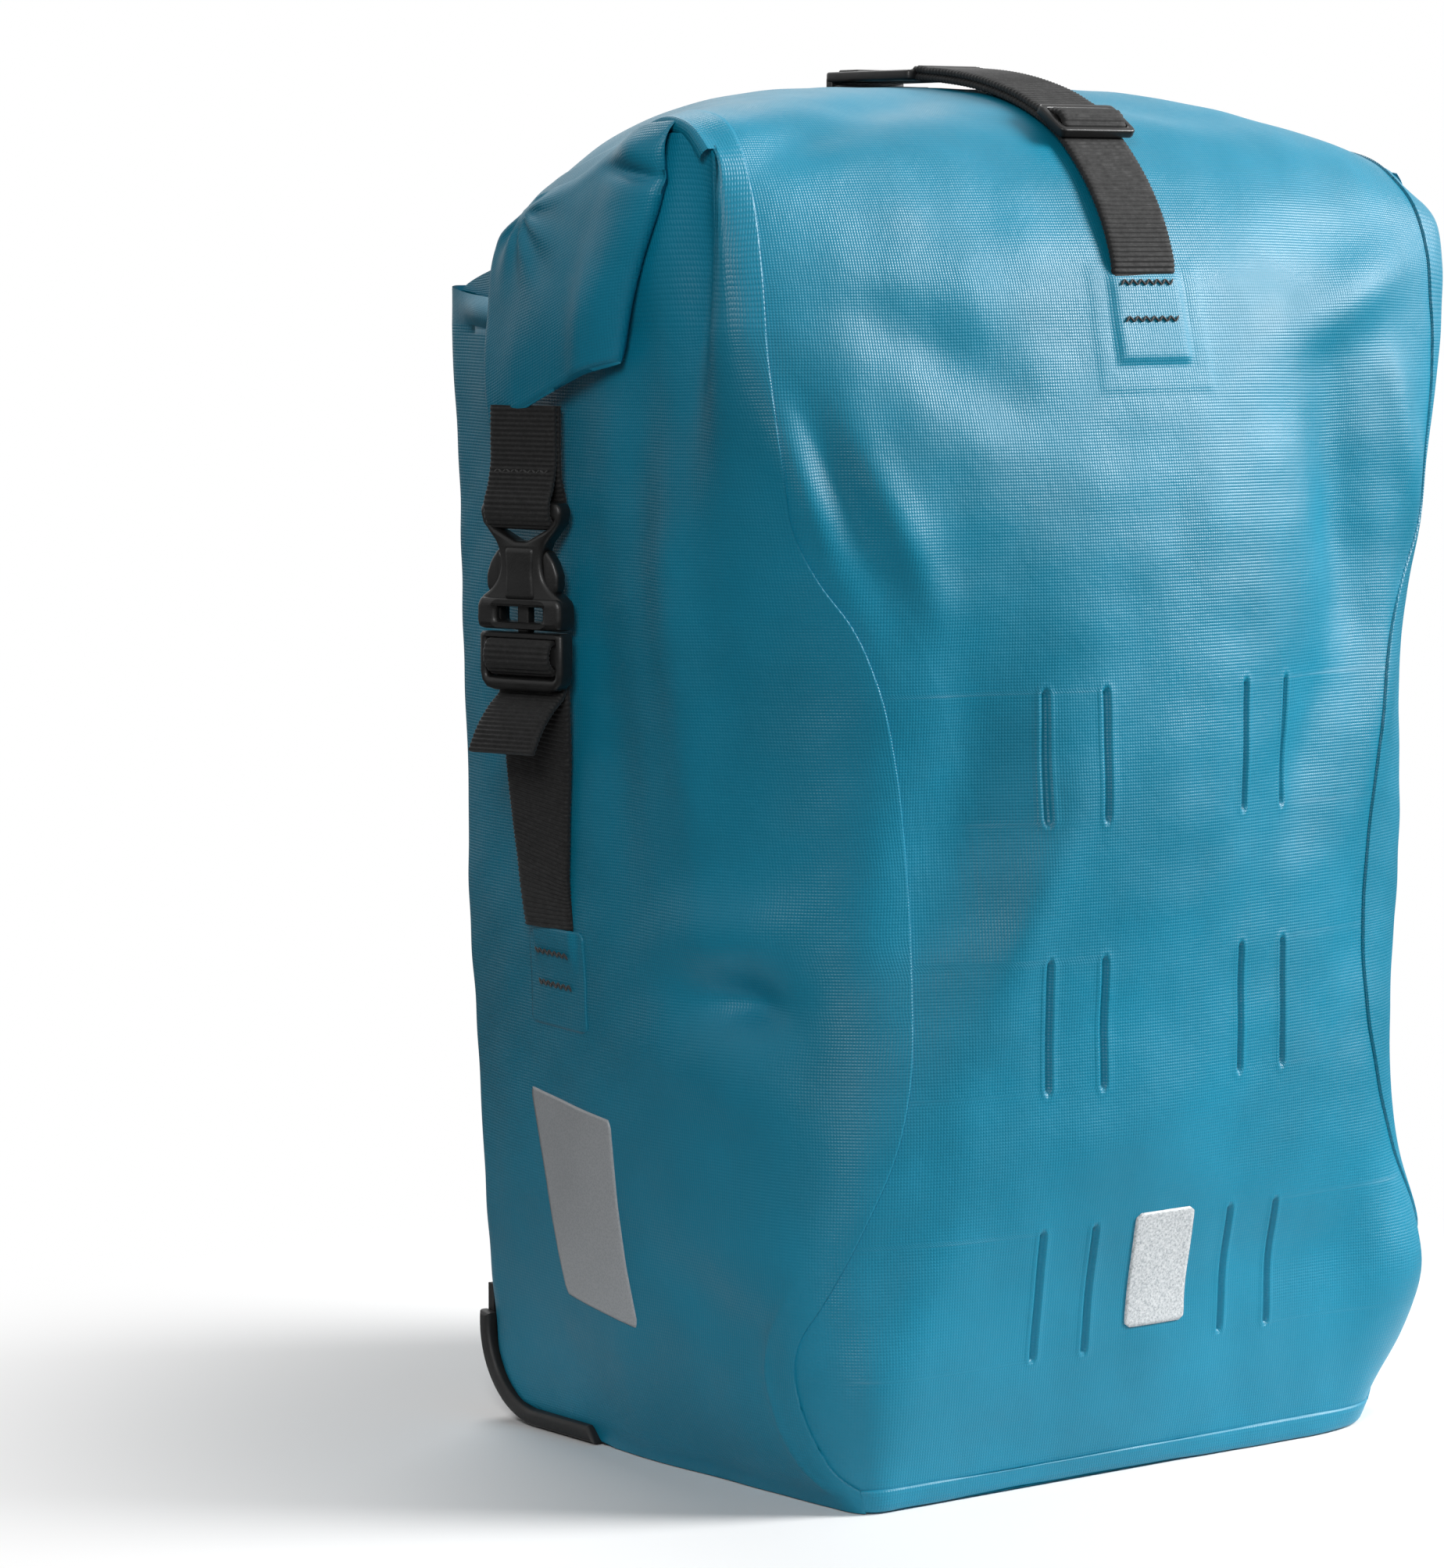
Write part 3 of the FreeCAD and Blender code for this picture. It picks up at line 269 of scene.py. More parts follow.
# Hollows and folds: centre, direction of the fold, its length, its width, its height.
FOLDS = [
    ((-78, -97, 198), (0.3, 0, 1), 52, 21, -8.0),
    ((-52, -102, 178), (0.45, 0, 1), 42, 9, 2.4),
    ((-128, -84, 310), (0.55, 0, -1), 26, 8, 4.0),
    ((-112, -86, 300), (0.55, 0, -1), 34, 8, -4.0),
    ((-98, -90, 292), (0.6, 0, -1), 30, 9, 3.2),
    ((-84, -92, 345), (1, 0, -0.5), 40, 12, -3.0),
    ((80, -92, 292), (-0.12, 0, 1), 42, 17, -7.5),
    ((92, -86, 360), (-0.9, 0, -0.43), 42, 11, 4.5),
    ((112, -82, 318), (-0.3, 0, 1), 30, 9, 3.0),
    ((100, -88, 235), (0.35, 0, 1), 40, 10, 3.4),
    ((62, -100, 225), (0.4, 0, 1), 36, 13, -2.6),
    ((20, -103, 300), (0.1, 0, 1), 70, 34, 2.0),
    ((-20, -104, 110), (1, 0, 0.25), 45, 20, 2.0),
    ((88, -98, 150), (0.15, 0, 1), 50, 18, -3.0),
    ((-96, -90, 80), (0.6, 0, 1), 34, 13, -3.4),
    ((50, -98, 62), (1, 0, 0.1), 60, 18, -2.2),
    ((124, -66, 190), (0, 0.1, 1), 55, 40, 8.5),
    ((121, -82, 50), (0, 0.2, 1), 28, 32, 9.5),
    ((138, -62, 285), (0, 0.1, 1), 35, 26, 4.0),
    ((-125, -58, 150), (0.25, 1, 0.06), 44, 8.5, -7.5),
    ((-126, -50, 170), (0.2, 1, -0.12), 50, 12, 4.2),
    ((-124, -42, 128), (0.1, 1, 0.3), 40, 13, 2.6),
    ((-136, -36, 268), (0, 0.05, 1), 70, 10, 3.4),
    ((-134, -2, 240), (0, 0.08, 1), 75, 13, -3.2),
    ((-133, 62, 210), (0, 0.08, 1), 90, 16, -2.4),
    ((-118, -40, 55), (0.1, 1, 0.5), 34, 13, -3.0),
    ((-145, -55, 362), (0, 0.10, -1), 42, 9, -9.0),
    ((145, -52, 358), (0, 0.10, -1), 40, 9, -8.0),
    ((-140, -30, 320), (0, 0.2, -1), 40, 12, -3.4),
    ((126, -10, 150), (0, 1, 0.1), 50, 10, -6.0),
    ((128, -6, 172), (0, 1, -0.1), 50, 12, 3.6),
    ((136, 20, 285), (0, 0.2, 1), 50, 12, 3.0),
    ((130, 55, 220), (0, 0.1, 1), 80, 15, -2.6),
    ((0, 95, 230), (1, 0, 0.2), 90, 22, -2.5),
    ((-60, 95, 270), (0.7, 0, 1), 50, 14, -2.5),
    ((70, 95, 190), (-0.6, 0, 1), 60, 16, -2.2),
    ((-60, -40, 419), (1, 0.5, 0), 46, 11, -2.6),
    ((52, -40, 421), (1, -0.35, 0), 46, 12, -2.2),
    ((-112, -62, 404), (1, 0.25, 0.2), 26, 8, -2.4),
]


def fold_height(points):
    """How far the cloth stands out of its plain form at each point."""
    total = np.zeros(points.shape[:-1])
    for centre, way, length, width, height in FOLDS:
        way = np.array(way, float) / np.linalg.norm(way)
        away = points - np.array(centre, float)
        along = away @ way
        beside = np.sqrt(np.maximum((away**2).sum(-1) - along**2, 0))
        total += height * np.exp(-(along / length)**2 - (beside / width)**2)
    return total


WAVES = 9


def ripple(points, size, seed):
    """Slow, even unevenness of the cloth, from a few crossed waves."""
    rng = np.random.default_rng(seed)
    total = np.zeros(points.shape[:-1])
    for _ in range(WAVES):
        way = rng.normal(size=3)
        way /= np.linalg.norm(way)
        number = 2 * np.pi / (size * rng.uniform(0.7, 1.5))
        total += np.sin(points @ way * number + rng.uniform(0, 2 * np.pi))
    return total / 3


def crumpled(grid):
    """A grid with the folds and slow ripples of worn cloth on it."""
    rise = fold_height(grid) + 0.5 * ripple(grid, 75, 3) + 0.16 * ripple(grid, 24, 5)
    return grid + normals(grid) * rise[..., None]


# ---------------------------------------------------------------- panels

SLOT_COLUMNS = (28.0, 48.0)
SLOT_ROWS = (60.0, 142.0, 223.0)
SLOT_HALF_LENGTH, SLOT_HALF_WIDTH, SLOT_DEPTH = 19.0, 1.1, 1.0
WALL_STEP = 1.1


def slot_depth(points):
    """Debossed slots in rows on the front."""
    depth = np.zeros(points.shape[:-1])
    for height in SLOT_ROWS:
        past = np.maximum(abs(points[..., 2] - height) - SLOT_HALF_LENGTH, 0)
        for column in SLOT_COLUMNS:
            away = np.hypot(abs(points[..., 0]) - column, past)
            depth += SLOT_DEPTH * (1 - smooth(away, SLOT_HALF_WIDTH * 0.35, SLOT_HALF_WIDTH * 1.25))
            depth -= 0.22 * np.exp(-((away - SLOT_HALF_WIDTH * 1.9) / 0.7)**2)
    return depth


def pocket_rise(points):
    """The welded pocket that the top strap comes out of, and the faint patch round it."""
    across, height = abs(points[..., 0]), points[..., 2]
    inner = np.maximum(across - 14.5, abs(height - 353) - 14)
    outer = np.maximum(across - 22, abs(height - 349.5) - 18.5)
    rise = 0.9 * (1 - smooth(inner, -1.8, 1.8)) - 0.5 * np.exp(-(inner / 1.3)**2)
    return rise + 0.3 * (1 - smooth(outer, -1.2, 1.2))


def half_across(reach):
    """Distances from the middle, closer together at the slots."""
    places = [0.0]
    while places[-1] < reach:
        near = min(abs(places[-1] - column) for column in SLOT_COLUMNS)
        places.append(places[-1] + (0.4 if near < 3.2 else 1.5))
    return np.array(places)


def lifted(grid, lift):
    """A grid moved out along its own normals."""
    return grid + normals(grid) * np.asarray(lift, float)[..., None]


def make_front():
    """Front of the bag, from the foot band's seam up and over the roll."""
    inner = half_across(60)
    outer = np.linspace(0, 1, 46)[1:]
    rows = []
    heights = np.arange(SEAM_FOOT - 0.4, WALL_TOP - 0.1, WALL_STEP)
    for height in heights:
        halves = []
        for hand in (-1, 1):
            line, along = section(height, hand)
            reach = np.interp(inner, line[:60, 0], along[:60])
            rest = lerp(reach[-1], SEAM(height) - 2.5, outer)
            halves.append(wall_row(height, np.concatenate([reach, rest]), hand))
        halves[1][:, 0] *= -1
        rows.append(np.concatenate([halves[0][::-1], halves[1][1:]]))
    wall = np.array(rows)
    top = top_grid(np.clip(wall[-1, :, 0] / RIM_HALF, -1, 1))
    step = (wall[-1] - top[0])[None] * np.exp(-np.arange(TOP_ROWS) / STEP_ROWS)[:, None, None]
    step[..., 2] = 0
    grid = crumpled(np.concatenate([wall, (top + step)[1:]]))
    lift = pocket_rise(grid) - slot_depth(grid)
    return sheets_piece("front_skin", [lifted(grid, lift)])


SIDE_SADDLE = [(5, 387), (22, 366), (36, 354), (60, 357), (95, 362)]
# Height of each side's top edge from front to back.
SIDE_TOP = {
    -1: track([(-72, 400), (-62, 407), (-47, 408), (-20, 398)] + SIDE_SADDLE),
    1: track([(-74, 378), (-57, 391), (-42, 397), (-18, 396)] + SIDE_SADDLE),
}
CREST = {-1: 402.0, 1: 392.0}
LAP_END = -34.0
CORNER_REACH = 12.0
CLOTH_LIFT, CLOTH_TUCK = 0.8, 0.4


def hem_ridge(beside, height):
    """A low ridge one hem's width inside the lapped edge, near the bag's foot."""
    return 1.0 * (1 - smooth(height, 50, 85)) * np.exp(-abs(beside + HEM) / 3.0)


def gusset(hand):
    """Grids of one side: its wall with the top of the side, and the hem over the roll's end."""
    lap = np.concatenate([[0, 0.0005, 0.012, 0.035], np.linspace(0.07, 1, 27)])
    flank = np.linspace(0, 1, 92)[1:]
    heights = np.array([0, 1, 2.5, 4.5, 7, 8, 9, 10, 11] + list(np.arange(13, WALL_TOP - 1, 2.0)) + [WALL_TOP])
    rows, beside = [], []
    for height in heights:
        _, along = section(height, hand)
        seam = SEAM(height) if height >= SEAM_FOOT else 0.0
        lengths = np.concatenate([lerp(seam, LAP_END, lap), lerp(LAP_END, along[-1], flank)])
        rows.append(wall_row(height, lengths, hand))
        beside.append(lengths - seam)
    wall = np.array(rows)
    beside = np.array(beside)
    ends = TOP[hand]
    crest = int(np.argmax(ends[:, 1] >= CREST[hand]))
    last = wall[-1]
    lengths = beside[-1] + SEAM(WALL_TOP)
    corner_y = ends[0, 0]
    over = []
    for row in range(1, crest + 1):
        y_line, z_line = ends[row]
        share = (z_line - WALL_TOP) / (ends[crest, 1] - WALL_TOP)
        top = np.zeros_like(last)
        front = lengths >= 0
        for column in np.flatnonzero(front):
            part = 1 - lengths[column] / RIM_HALF
            line = top_line(part, hand)
            step = (last[column] - (-part * RIM_HALF, line[0, 0], WALL_TOP)) * math.exp(-row / STEP_ROWS)
            top[column] = (-part * RIM_HALF + step[0], line[row, 0] + step[1], line[row, 1])
        side = ~front
        near = np.exp(-abs(last[side, 1] - corner_y) / CORNER_REACH)
        y = last[side, 1] + (y_line - corner_y) * near
        z = lerp(WALL_TOP, SIDE_TOP[hand](y), share)
        z = lerp(z, z_line, near)
        puff = 3.0 * np.sin(np.pi * np.clip(share, 0, 1)) * smooth(y, -60, -20) * (1 - smooth(y, 60, 92))
        top[side] = np.stack([last[side, 0] - puff, y, z], -1)
        over.append(top)
    grid = np.concatenate([wall, np.array(over)])
    beside = np.concatenate([beside, np.repeat(beside[-1:], crest, axis=0)])
    high = np.concatenate([heights, np.full(crest, WALL_TOP)])[:, None] + 0 * beside
    grid, beside, high = grid[:, ::-1], beside[:, ::-1], high[:, ::-1]
    rise = CLOTH_LIFT + hem_ridge(beside, high)
    rise = np.where(high < SEAM_FOOT, CLOTH_LIFT / 2.5, rise)
    edge = (beside >= -0.001) & (high >= SEAM_FOOT)
    rise = np.where(edge, -CLOTH_TUCK, rise)
    return (grid, rise), hem_strip(hand, crest)


def hem_strip(hand, crest):
    """The double hem over the roll's end, with its outer edge turned down."""
    shares = np.concatenate([np.linspace(1, 1 - HEM / RIM_HALF, 14), [1 - (HEM + 0.05) / RIM_HALF]])
    band = np.zeros((TOP_ROWS - crest, len(shares), 3))
    for column, share in enumerate(shares):
        band[:, column, 0] = hand * share * RIM_HALF
        band[:, column, 1:] = top_line(share, hand)[crest:]
    if hand > 0:
        band = band[:, ::-1]
    out = normals(band)
    band = crumpled(band)
    rise = np.full(band.shape[:2], CLOTH_LIFT)
    inner, outer = (-1, 0) if hand < 0 else (0, -1)
    rise[:, inner] = -CLOTH_TUCK
    band = band + out * rise[..., None]
    edge = band[:, outer]
    turned = [edge - out[:, outer] * drop + np.array([hand * aside, 0, 0]) for drop, aside in
              ((1.4, 0.5), (3.2, 0.5), (5.0, -0.6))]
    strip = [row[:, None] for row in turned]
    parts = strip[::-1] + [band] if hand < 0 else [band] + strip
    return np.concatenate(parts, axis=1)


def make_side(name, hand):
    """One side's wall, its turned edge and its hem."""
    (grid, rise), hem = gusset(hand)
    if hand > 0:
        grid, rise = mirrored(grid), rise[:, ::-1]
    grid = lifted(crumpled(grid), rise)
    return sheets_piece(f"{name}_side_skin", [grid, hem])


def make_base():
    """Underside, and the narrow band that turns up at the front."""
    left, right = section(0.0, -1)[0], section(0.0, 1)[0]
    ring = np.concatenate([left[::-1] * (-1, 1), right[1:]])
    middle = np.array([0.0, -28.0])
    shares = np.concatenate([np.linspace(0, 0.9, 22), [0.96, 1.0]])
    under = np.array([np.concatenate([lerp(ring, middle, share), np.full((len(ring), 1), 0.35)], axis=1)
                      for share in shares])
    rows = []
    for height, out in ((7, -0.5), (6.98, 0.5), (6.4, 0.8), (5, 0.8), (3, 0.8), (1.5, 0.7), (0.4, 0.1)):
        halves = []
        for hand in (-1, 1):
            lengths = lerp(section(height, hand)[1][0], 0.0, np.linspace(0, 1, 70))
            halves.append(wall_row(height, lengths, hand))
        halves[1][:, 0] *= -1
        row = np.concatenate([halves[0][::-1], halves[1][1:]])
        away = row[:, :2] - np.array([0, 20.0])
        row[:, :2] += away / np.linalg.norm(away, axis=1, keepdims=True) * out
        rows.append(row)
    band = crumpled(np.array(rows)[::-1])
    return sheets_piece("base_skin", [under, band])


def back_line(share):
    """The back sheet's line from its foot up to the crease under the roll, at a share of its half width."""
    heights = np.concatenate([np.arange(30, 358, 4.0), [358.0]])
    half = HALF_BACK(heights) - 5
    rise = np.stack([share * half, REAR(heights), heights], -1)
    top = rise[-1]
    bow = np.array([top[0], 94.4, 364.0])
    crease = np.array([136.0 * share, lerp(50, 31, abs(share)**3), lerp(388, 373, abs(share)**3)])
    return np.concatenate([rise, bend(top, bow, crease, 26)[1:]])


CREASE_START = 82  # the first place on the back's line that follows the crease


def make_back():
    """The back sheet up to the crease under the roll, and the webs from it to the sides' top edges."""
    shares = np.linspace(1, -1, 71)
    sheet = np.stack([back_line(share) for share in shares], 1)
    rise = fold_height(sheet) * 0.6 + 0.3 * ripple(sheet, 60, 9)
    rise *= smooth(sheet[..., 2], 60, 160)
    sheet = lifted(sheet, np.clip(rise - 0.3, -2.5, 0.0))
    grids = [sheet]
    edge = back_line(1.0)[CREASE_START:]
    for hand in (-1, 1):
        depth = np.linspace(94, 24, len(edge))
        top = SIDE_TOP[hand](depth) - 1.5 * smooth(depth, 80, 94)
        half = lerp(HALF_BACK(350.0) - 1, RIM_HALF, np.clip((94 - depth) / 120, 0, 1))
        outer = np.stack([half, depth, top], -1)
        steps = np.linspace(0, 1, 16)[:, None, None]
        web = lerp(outer[None], edge[None], steps)
        sag = np.sin(np.pi * steps[..., 0]) * np.sin(np.pi * np.linspace(0, 1, len(edge)))[None]
        web[..., 2] -= 5.0 * sag
        web = web.transpose(1, 0, 2)
        if hand < 0:
            web = mirrored(web)
        web[..., 2] += 0.3
        grids.append(web)
    return sheets_piece("back_skin", grids)


# ---------------------------------------------------------------- end flaps

FLAP_TOP = {
    -1: [(-49, 411), (-34, 409.5), (-20, 403), (0, 394), (14, 391), (34, 380)],
    1: [(-49, 397.5), (-34, 399), (-18, 397), (0, 391.5), (14, 390), (34, 380)],
}
FLAP_FRONT = [(-46, 388), (-38, 370), (-30, 353), (-24, 340)]
FLAP_BACK = [(34, 380), (36.5, 366), (38, 350), (40, 333), (41, 319)]
FLAP_FOOT = [(-24, 340), (-10, 336.5), (6, 331), (22, 325), (33, 321), (41, 319)]
FLAP_OUT = track([(0, 147.2), (0.04, 149.6), (0.12, 152), (0.35, 154.8), (0.6, 155.6), (0.85, 154.2),
                  (1.0, 152.2)])
FLAP_ACROSS, FLAP_DOWN = 74, 84  # points
FLAP_WIDTH, FLAP_DROP = 70.0, 76.0
FLAP_GATHER = (150, 22, 385)


def edge_roll(away, radius):
    """From 0 on an edge to 1 a radius away from it, on a quarter circle."""
    return np.sqrt(np.clip(1 - (1 - np.minimum(away / radius, 1))**2, 0, 1))


def make_flap(name, hand):
    """The folded end of the roll: a soft double flap, hollow underneath where the strap comes out."""
    even = np.linspace(0, 1, FLAP_ACROSS)
    u = (even - 0.24 * np.sin(2 * np.pi * even) / (2 * np.pi))[None]
    v = np.linspace(0, 1, FLAP_DOWN)[:, None]
    top, foot = path(FLAP_TOP[hand], FLAP_ACROSS), path(FLAP_FOOT, FLAP_ACROSS)
    fore, aft = path([FLAP_TOP[hand][0]] + FLAP_FRONT, FLAP_DOWN), path(FLAP_BACK, FLAP_DOWN)
    U, V = u[..., None], v[..., None]
    plan = ((1 - V) * top[None] + V * foot[None] + (1 - U) * fore[:, None] + U * aft[:, None]
            - (1 - U) * (1 - V) * top[0] - U * (1 - V) * top[-1] - (1 - U) * V * foot[0] - U * V * foot[-1])
    depth, height = plan[..., 0], plan[..., 1]
    to_front = u * FLAP_WIDTH
    roll_sides = edge_roll(to_front, 9.0) * edge_roll((1 - u) * FLAP_WIDTH, 2.2)
    body = 1.3 + 3.6 * np.exp(-(to_front / 15.0)**2) * smooth(v, 0.02, 0.25)
    half = body * roll_sides * edge_roll((1 - v) * FLAP_DROP, 2.4)
    swell = 1.6 * np.exp(-((to_front - 10) / 8.0)**2) * smooth(v, 0.08, 0.3)
    outer = FLAP_OUT(v) + swell - 2.0 * smooth(u, 0.75, 1.0) * smooth(v, 0.1, 0.5) - (body - half)
    points = np.stack([outer, depth, height], -1)
    creases = 1.1 * radial_creases(points, FLAP_GATHER, 9)
    creases += 0.9 * np.exp(-((depth + 12 + 0.25 * (height - 350)) / 5.0)**2) * smooth(v, 0.2, 0.6)
    creases += 0.35 * ripple(points, 26, 11 if hand < 0 else 12)
    below = height - FLAP_TOP[hand][1][1]
    nose = 3.4 * np.exp(-((depth + 37) / 10.0)**2 - ((below + 6.5) / 4.6)**2)
    sunk = below + 14.0 - 0.12 * (depth + 36)
    under = -3.0 * np.exp(-((depth + 35) / 13.0)**2 - (sunk / 2.4)**2)
    shell = creases * roll_sides + nose + under
    hollow = 1.2 * smooth(v, 0.7, 1.0) * np.exp(-((depth - 18) / 16.0)**2)
    inner = outer + shell * 0.3 - 2 * half + np.minimum(hollow, np.maximum(2 * half - 0.9, 0))
    inner = np.maximum(inner, RIM_HALF + 0.8 * smooth(v, 0, 0.1) - 1.2 * (1 - smooth(v, 0, 0.08)))
    faces = [np.stack([hand * across, depth, height], -1) for across in (outer + shell, inner)]
    return closed_grid(f"{name}_flap_skin", *faces, hand > 0)


def radial_creases(points, centre, count):
    """Shallow folds that fan out from a gathered corner."""
    away = points - np.array(centre, float)
    angle = np.arctan2(away[..., 2], away[..., 1])
    reach = np.hypot(away[..., 1], away[..., 2])
    return np.sin(angle * count + 0.6) * np.exp(-(reach / 22.0)**2) * smooth(reach, 1, 10)


def closed_grid(name, outer, inner, flip):
    """One closed mesh from an outer and an inner grid whose edges meet."""
    rows, columns = outer.shape[:2]
    points = np.concatenate([outer.reshape(-1, 3), inner.reshape(-1, 3)])
    faces = grid_faces(rows, columns, 0, flip) + grid_faces(rows, columns, rows * columns, not flip)
    edge = ([(0, c) for c in range(columns)] + [(r, columns - 1) for r in range(1, rows)]
            + [(rows - 1, c) for c in range(columns - 2, -1, -1)] + [(r, 0) for r in range(rows - 2, 0, -1)])
    loop = [r * columns + c for r, c in edge]
    for at, here in enumerate(loop):
        there = loop[(at + 1) % len(loop)]
        quad = [here, here + rows * columns, there + rows * columns, there]
        faces.append(quad if not flip else quad[::-1])
    uvs = np.concatenate([spread(outer).reshape(-1, 2), spread(inner).reshape(-1, 2)])
    piece = mesh_piece(name, points, faces, uvs)
    weld(piece, GRID_WELD, face_out=True)
    return piece


# ---------------------------------------------------------------- patches on a surface

class Cloth:
    """A finished fabric surface that flat pieces can be laid on."""

    def __init__(self, piece):
        made = bmesh.new()
        made.from_mesh(piece.data)
        self.tree = BVHTree.FromBMesh(made)
        made.free()

    def at(self, start, way, lift):
        """The point that a line from start along way meets, lifted off the surface."""
        hit, normal, _, _ = self.tree.ray_cast(Vector(start) * MM, Vector(way))
        if hit is None:
            return np.array(start, float)
        normal = -normal if normal.dot(Vector(way)) > 0 else normal
        return np.array(hit + normal * lift * MM) / MM


def patch_piece(name, grid, thickness, round_edge):
    """A thin closed patch: its face, with an edge that turns down to the cloth."""
    out = normals(grid)
    rows, columns = grid.shape[:2]
    turned = grid - out * round_edge
    rim = np.zeros((rows + 2, columns + 2, 3))
    rim[1:-1, 1:-1] = grid + out * thickness
    rim[0, 1:-1], rim[-1, 1:-1] = turned[0], turned[-1]
    rim[1:-1, 0], rim[1:-1, -1] = turned[:, 0], turned[:, -1]
    rim[0, 0], rim[0, -1], rim[-1, 0], rim[-1, -1] = rim[0, 1], rim[0, -2], rim[-1, 1], rim[-1, -2]
    return mesh_piece(name, rim.reshape(-1, 3), grid_faces(rows + 2, columns + 2), spread(rim).reshape(-1, 2))


def rounded_rect(low, high, radius, count):
    """Heights of a rounded rectangle's rows, and how far each row's ends are drawn in."""
    heights = np.linspace(low, high, count)
    from_end = np.minimum(heights - low, high - heights)
    inset = radius - np.sqrt(np.clip(radius**2 - (radius - np.minimum(from_end, radius))**2, 0, None))
    return heights, inset


# ---------------------------------------------------------------- webbing and thread

RIB_PITCH, RIB_RISE, RIB_STEP = 1.5, 0.27, 0.30
TAPE_FLAT = 15  # points across the flat of a tape


def webbing_piece(name, points, ways, width=25.0, thick=1.9):
    """Ribbed tape along a line, with soft edges and ribs across it."""
    points, ways = np.array(points, float), np.array(ways, float)
    length = np.linalg.norm(np.diff(points, axis=0), axis=1).sum()
    count = max(int(length / RIB_STEP), 8)
    line = path(points, count)
    share = np.linspace(0, 1, len(ways))
    want = np.linspace(0, 1, count)
    side = np.stack([np.interp(want, share, column) for column in ways.T], -1)
    run = np.gradient(line, axis=0)
    run /= np.linalg.norm(run, axis=1, keepdims=True)
    side -= run * (side * run).sum(1, keepdims=True)
    side /= np.linalg.norm(side, axis=1, keepdims=True)
    up = np.cross(side, run)
    across = np.concatenate([[-1, -0.985], np.linspace(-0.94, 0.94, TAPE_FLAT), [0.985, 1]]) * width / 2
    profile = np.concatenate([[0.0, 0.32], np.full(TAPE_FLAT, 0.5), [0.32, 0.0]]) * thick
    along = np.linspace(0, length, count)
    rib = RIB_RISE * np.cos(2 * np.pi * along / RIB_PITCH)[:, None] * np.clip(profile / (0.5 * thick), 0, 1)[None]
    middle = line[:, None] + side[:, None] * across[None, :, None]
    rise = up[:, None] * (profile[None] + rib)[..., None]
    return closed_grid(name, middle + rise, middle - rise, False)


STITCH, THREAD_RADIUS = 1.6, 0.34
BAR_SIDES = 7


def stitch_rows(name, heights, place, reach=10.5, swing=0.9):
    """Rows of zigzag stitching over the middle of a tape; place gives the point at (across, height)."""
    points, faces, start = [], [], 0
    for height in heights:
        count = int(2 * reach / STITCH)
        for at in range(count):
            a, b = lerp(-reach, reach, at / count), lerp(-reach, reach, (at + 1) / count)
            tilt = swing if at % 2 == 0 else -swing
            tube, quads = thread_bar(place(a, height - tilt), place(b, height + tilt), THREAD_RADIUS)
            points.append(tube)
            faces += [[start + corner for corner in quad] for quad in quads]
            start += len(tube)
    return mesh_piece(name, np.concatenate(points), faces)


def thread_bar(a, b, radius):
    """A short plump stitch between two points."""
    a, b = np.array(a, float), np.array(b, float)
    run = (b - a) / np.linalg.norm(b - a)
    side = np.cross(run, (0.3, 0.5, 0.8))
    side /= np.linalg.norm(side)
    other = np.cross(run, side)
    rings = []
    for share, size in ((0, 0.35), (0.18, 0.9), (0.5, 1.15), (0.82, 0.9), (1, 0.35)):
        for step in range(BAR_SIDES):
            angle = 2 * np.pi * step / BAR_SIDES
            outwards = math.cos(angle) * side + math.sin(angle) * other
            rings.append(lerp(a, b, share) + radius * size * outwards)
    return np.array(rings), grid_faces(5, BAR_SIDES, ring=True)


# ---------------------------------------------------------------- moulded plates

SHARP_ANGLE = math.radians(38)


def plate_piece(name, outlines, depth, bevel, matrix):
    """A flat moulding: closed outlines, the later ones holes, with rounded edges."""
    curve = bpy.data.curves.new(name, "CURVE")
    curve.dimensions = "2D"
    curve.fill_mode = "BOTH"
    curve.extrude = max(depth / 2 - bevel, 0.01) * MM
    curve.bevel_depth = bevel * MM
    curve.bevel_resolution = 3
    curve.offset = -bevel * MM
    for outline in outlines:
        spline = curve.splines.new("POLY")
        spline.points.add(len(outline) - 1)
        for point, (x, y) in zip(spline.points, outline):
            point.co = (x * MM, y * MM, 0, 1)
        spline.use_cyclic_u = True
    holder = linked(name + "_curve", curve)
    bpy.context.view_layer.update()
    mesh = bpy.data.meshes.new_from_object(holder.evaluated_get(bpy.context.evaluated_depsgraph_get()))
    bpy.data.objects.remove(holder)
    mesh.transform(matrix)
    piece = linked(name, mesh)
    weld(piece, PLATE_WELD, face_out=True)
    mesh.polygons.foreach_set("use_smooth", [True] * len(mesh.polygons))
    mesh.set_sharp_from_angle(angle=SHARP_ANGLE)
    return piece


def rounded(points, radius, steps=5):
    """A closed outline with its corners rounded."""
    points = np.array(points, float)
    out = []
    for at, here in enumerate(points):
        before, after = points[at - 1], points[(at + 1) % len(points)]
        into, away = here - before, after - here
        reach = min(radius, 0.45 * np.linalg.norm(into), 0.45 * np.linalg.norm(away))
        start = here - into / np.linalg.norm(into) * reach
        end = here + away / np.linalg.norm(away) * reach
        out += list(bend(start, here, end, steps))
    return out


def both_halves(half):
    """A closed outline from its right half, listed from the bottom up."""
    return list(half) + [(-x, y) for x, y in reversed(half)]


def box_outline(half, low, high):
    return [(-half, low), (half, low), (half, high), (-half, high)]


def joined(name, made):
    """One object from several, at the origin."""
    for piece in made[1:]:
        both = bmesh.new()
        both.from_mesh(made[0].data)
        both.from_mesh(piece.data)
        both.to_mesh(made[0].data)
        both.free()
        bpy.data.objects.remove(piece)
    made[0].name = name
    made[0].data.name = name
    return made[0]


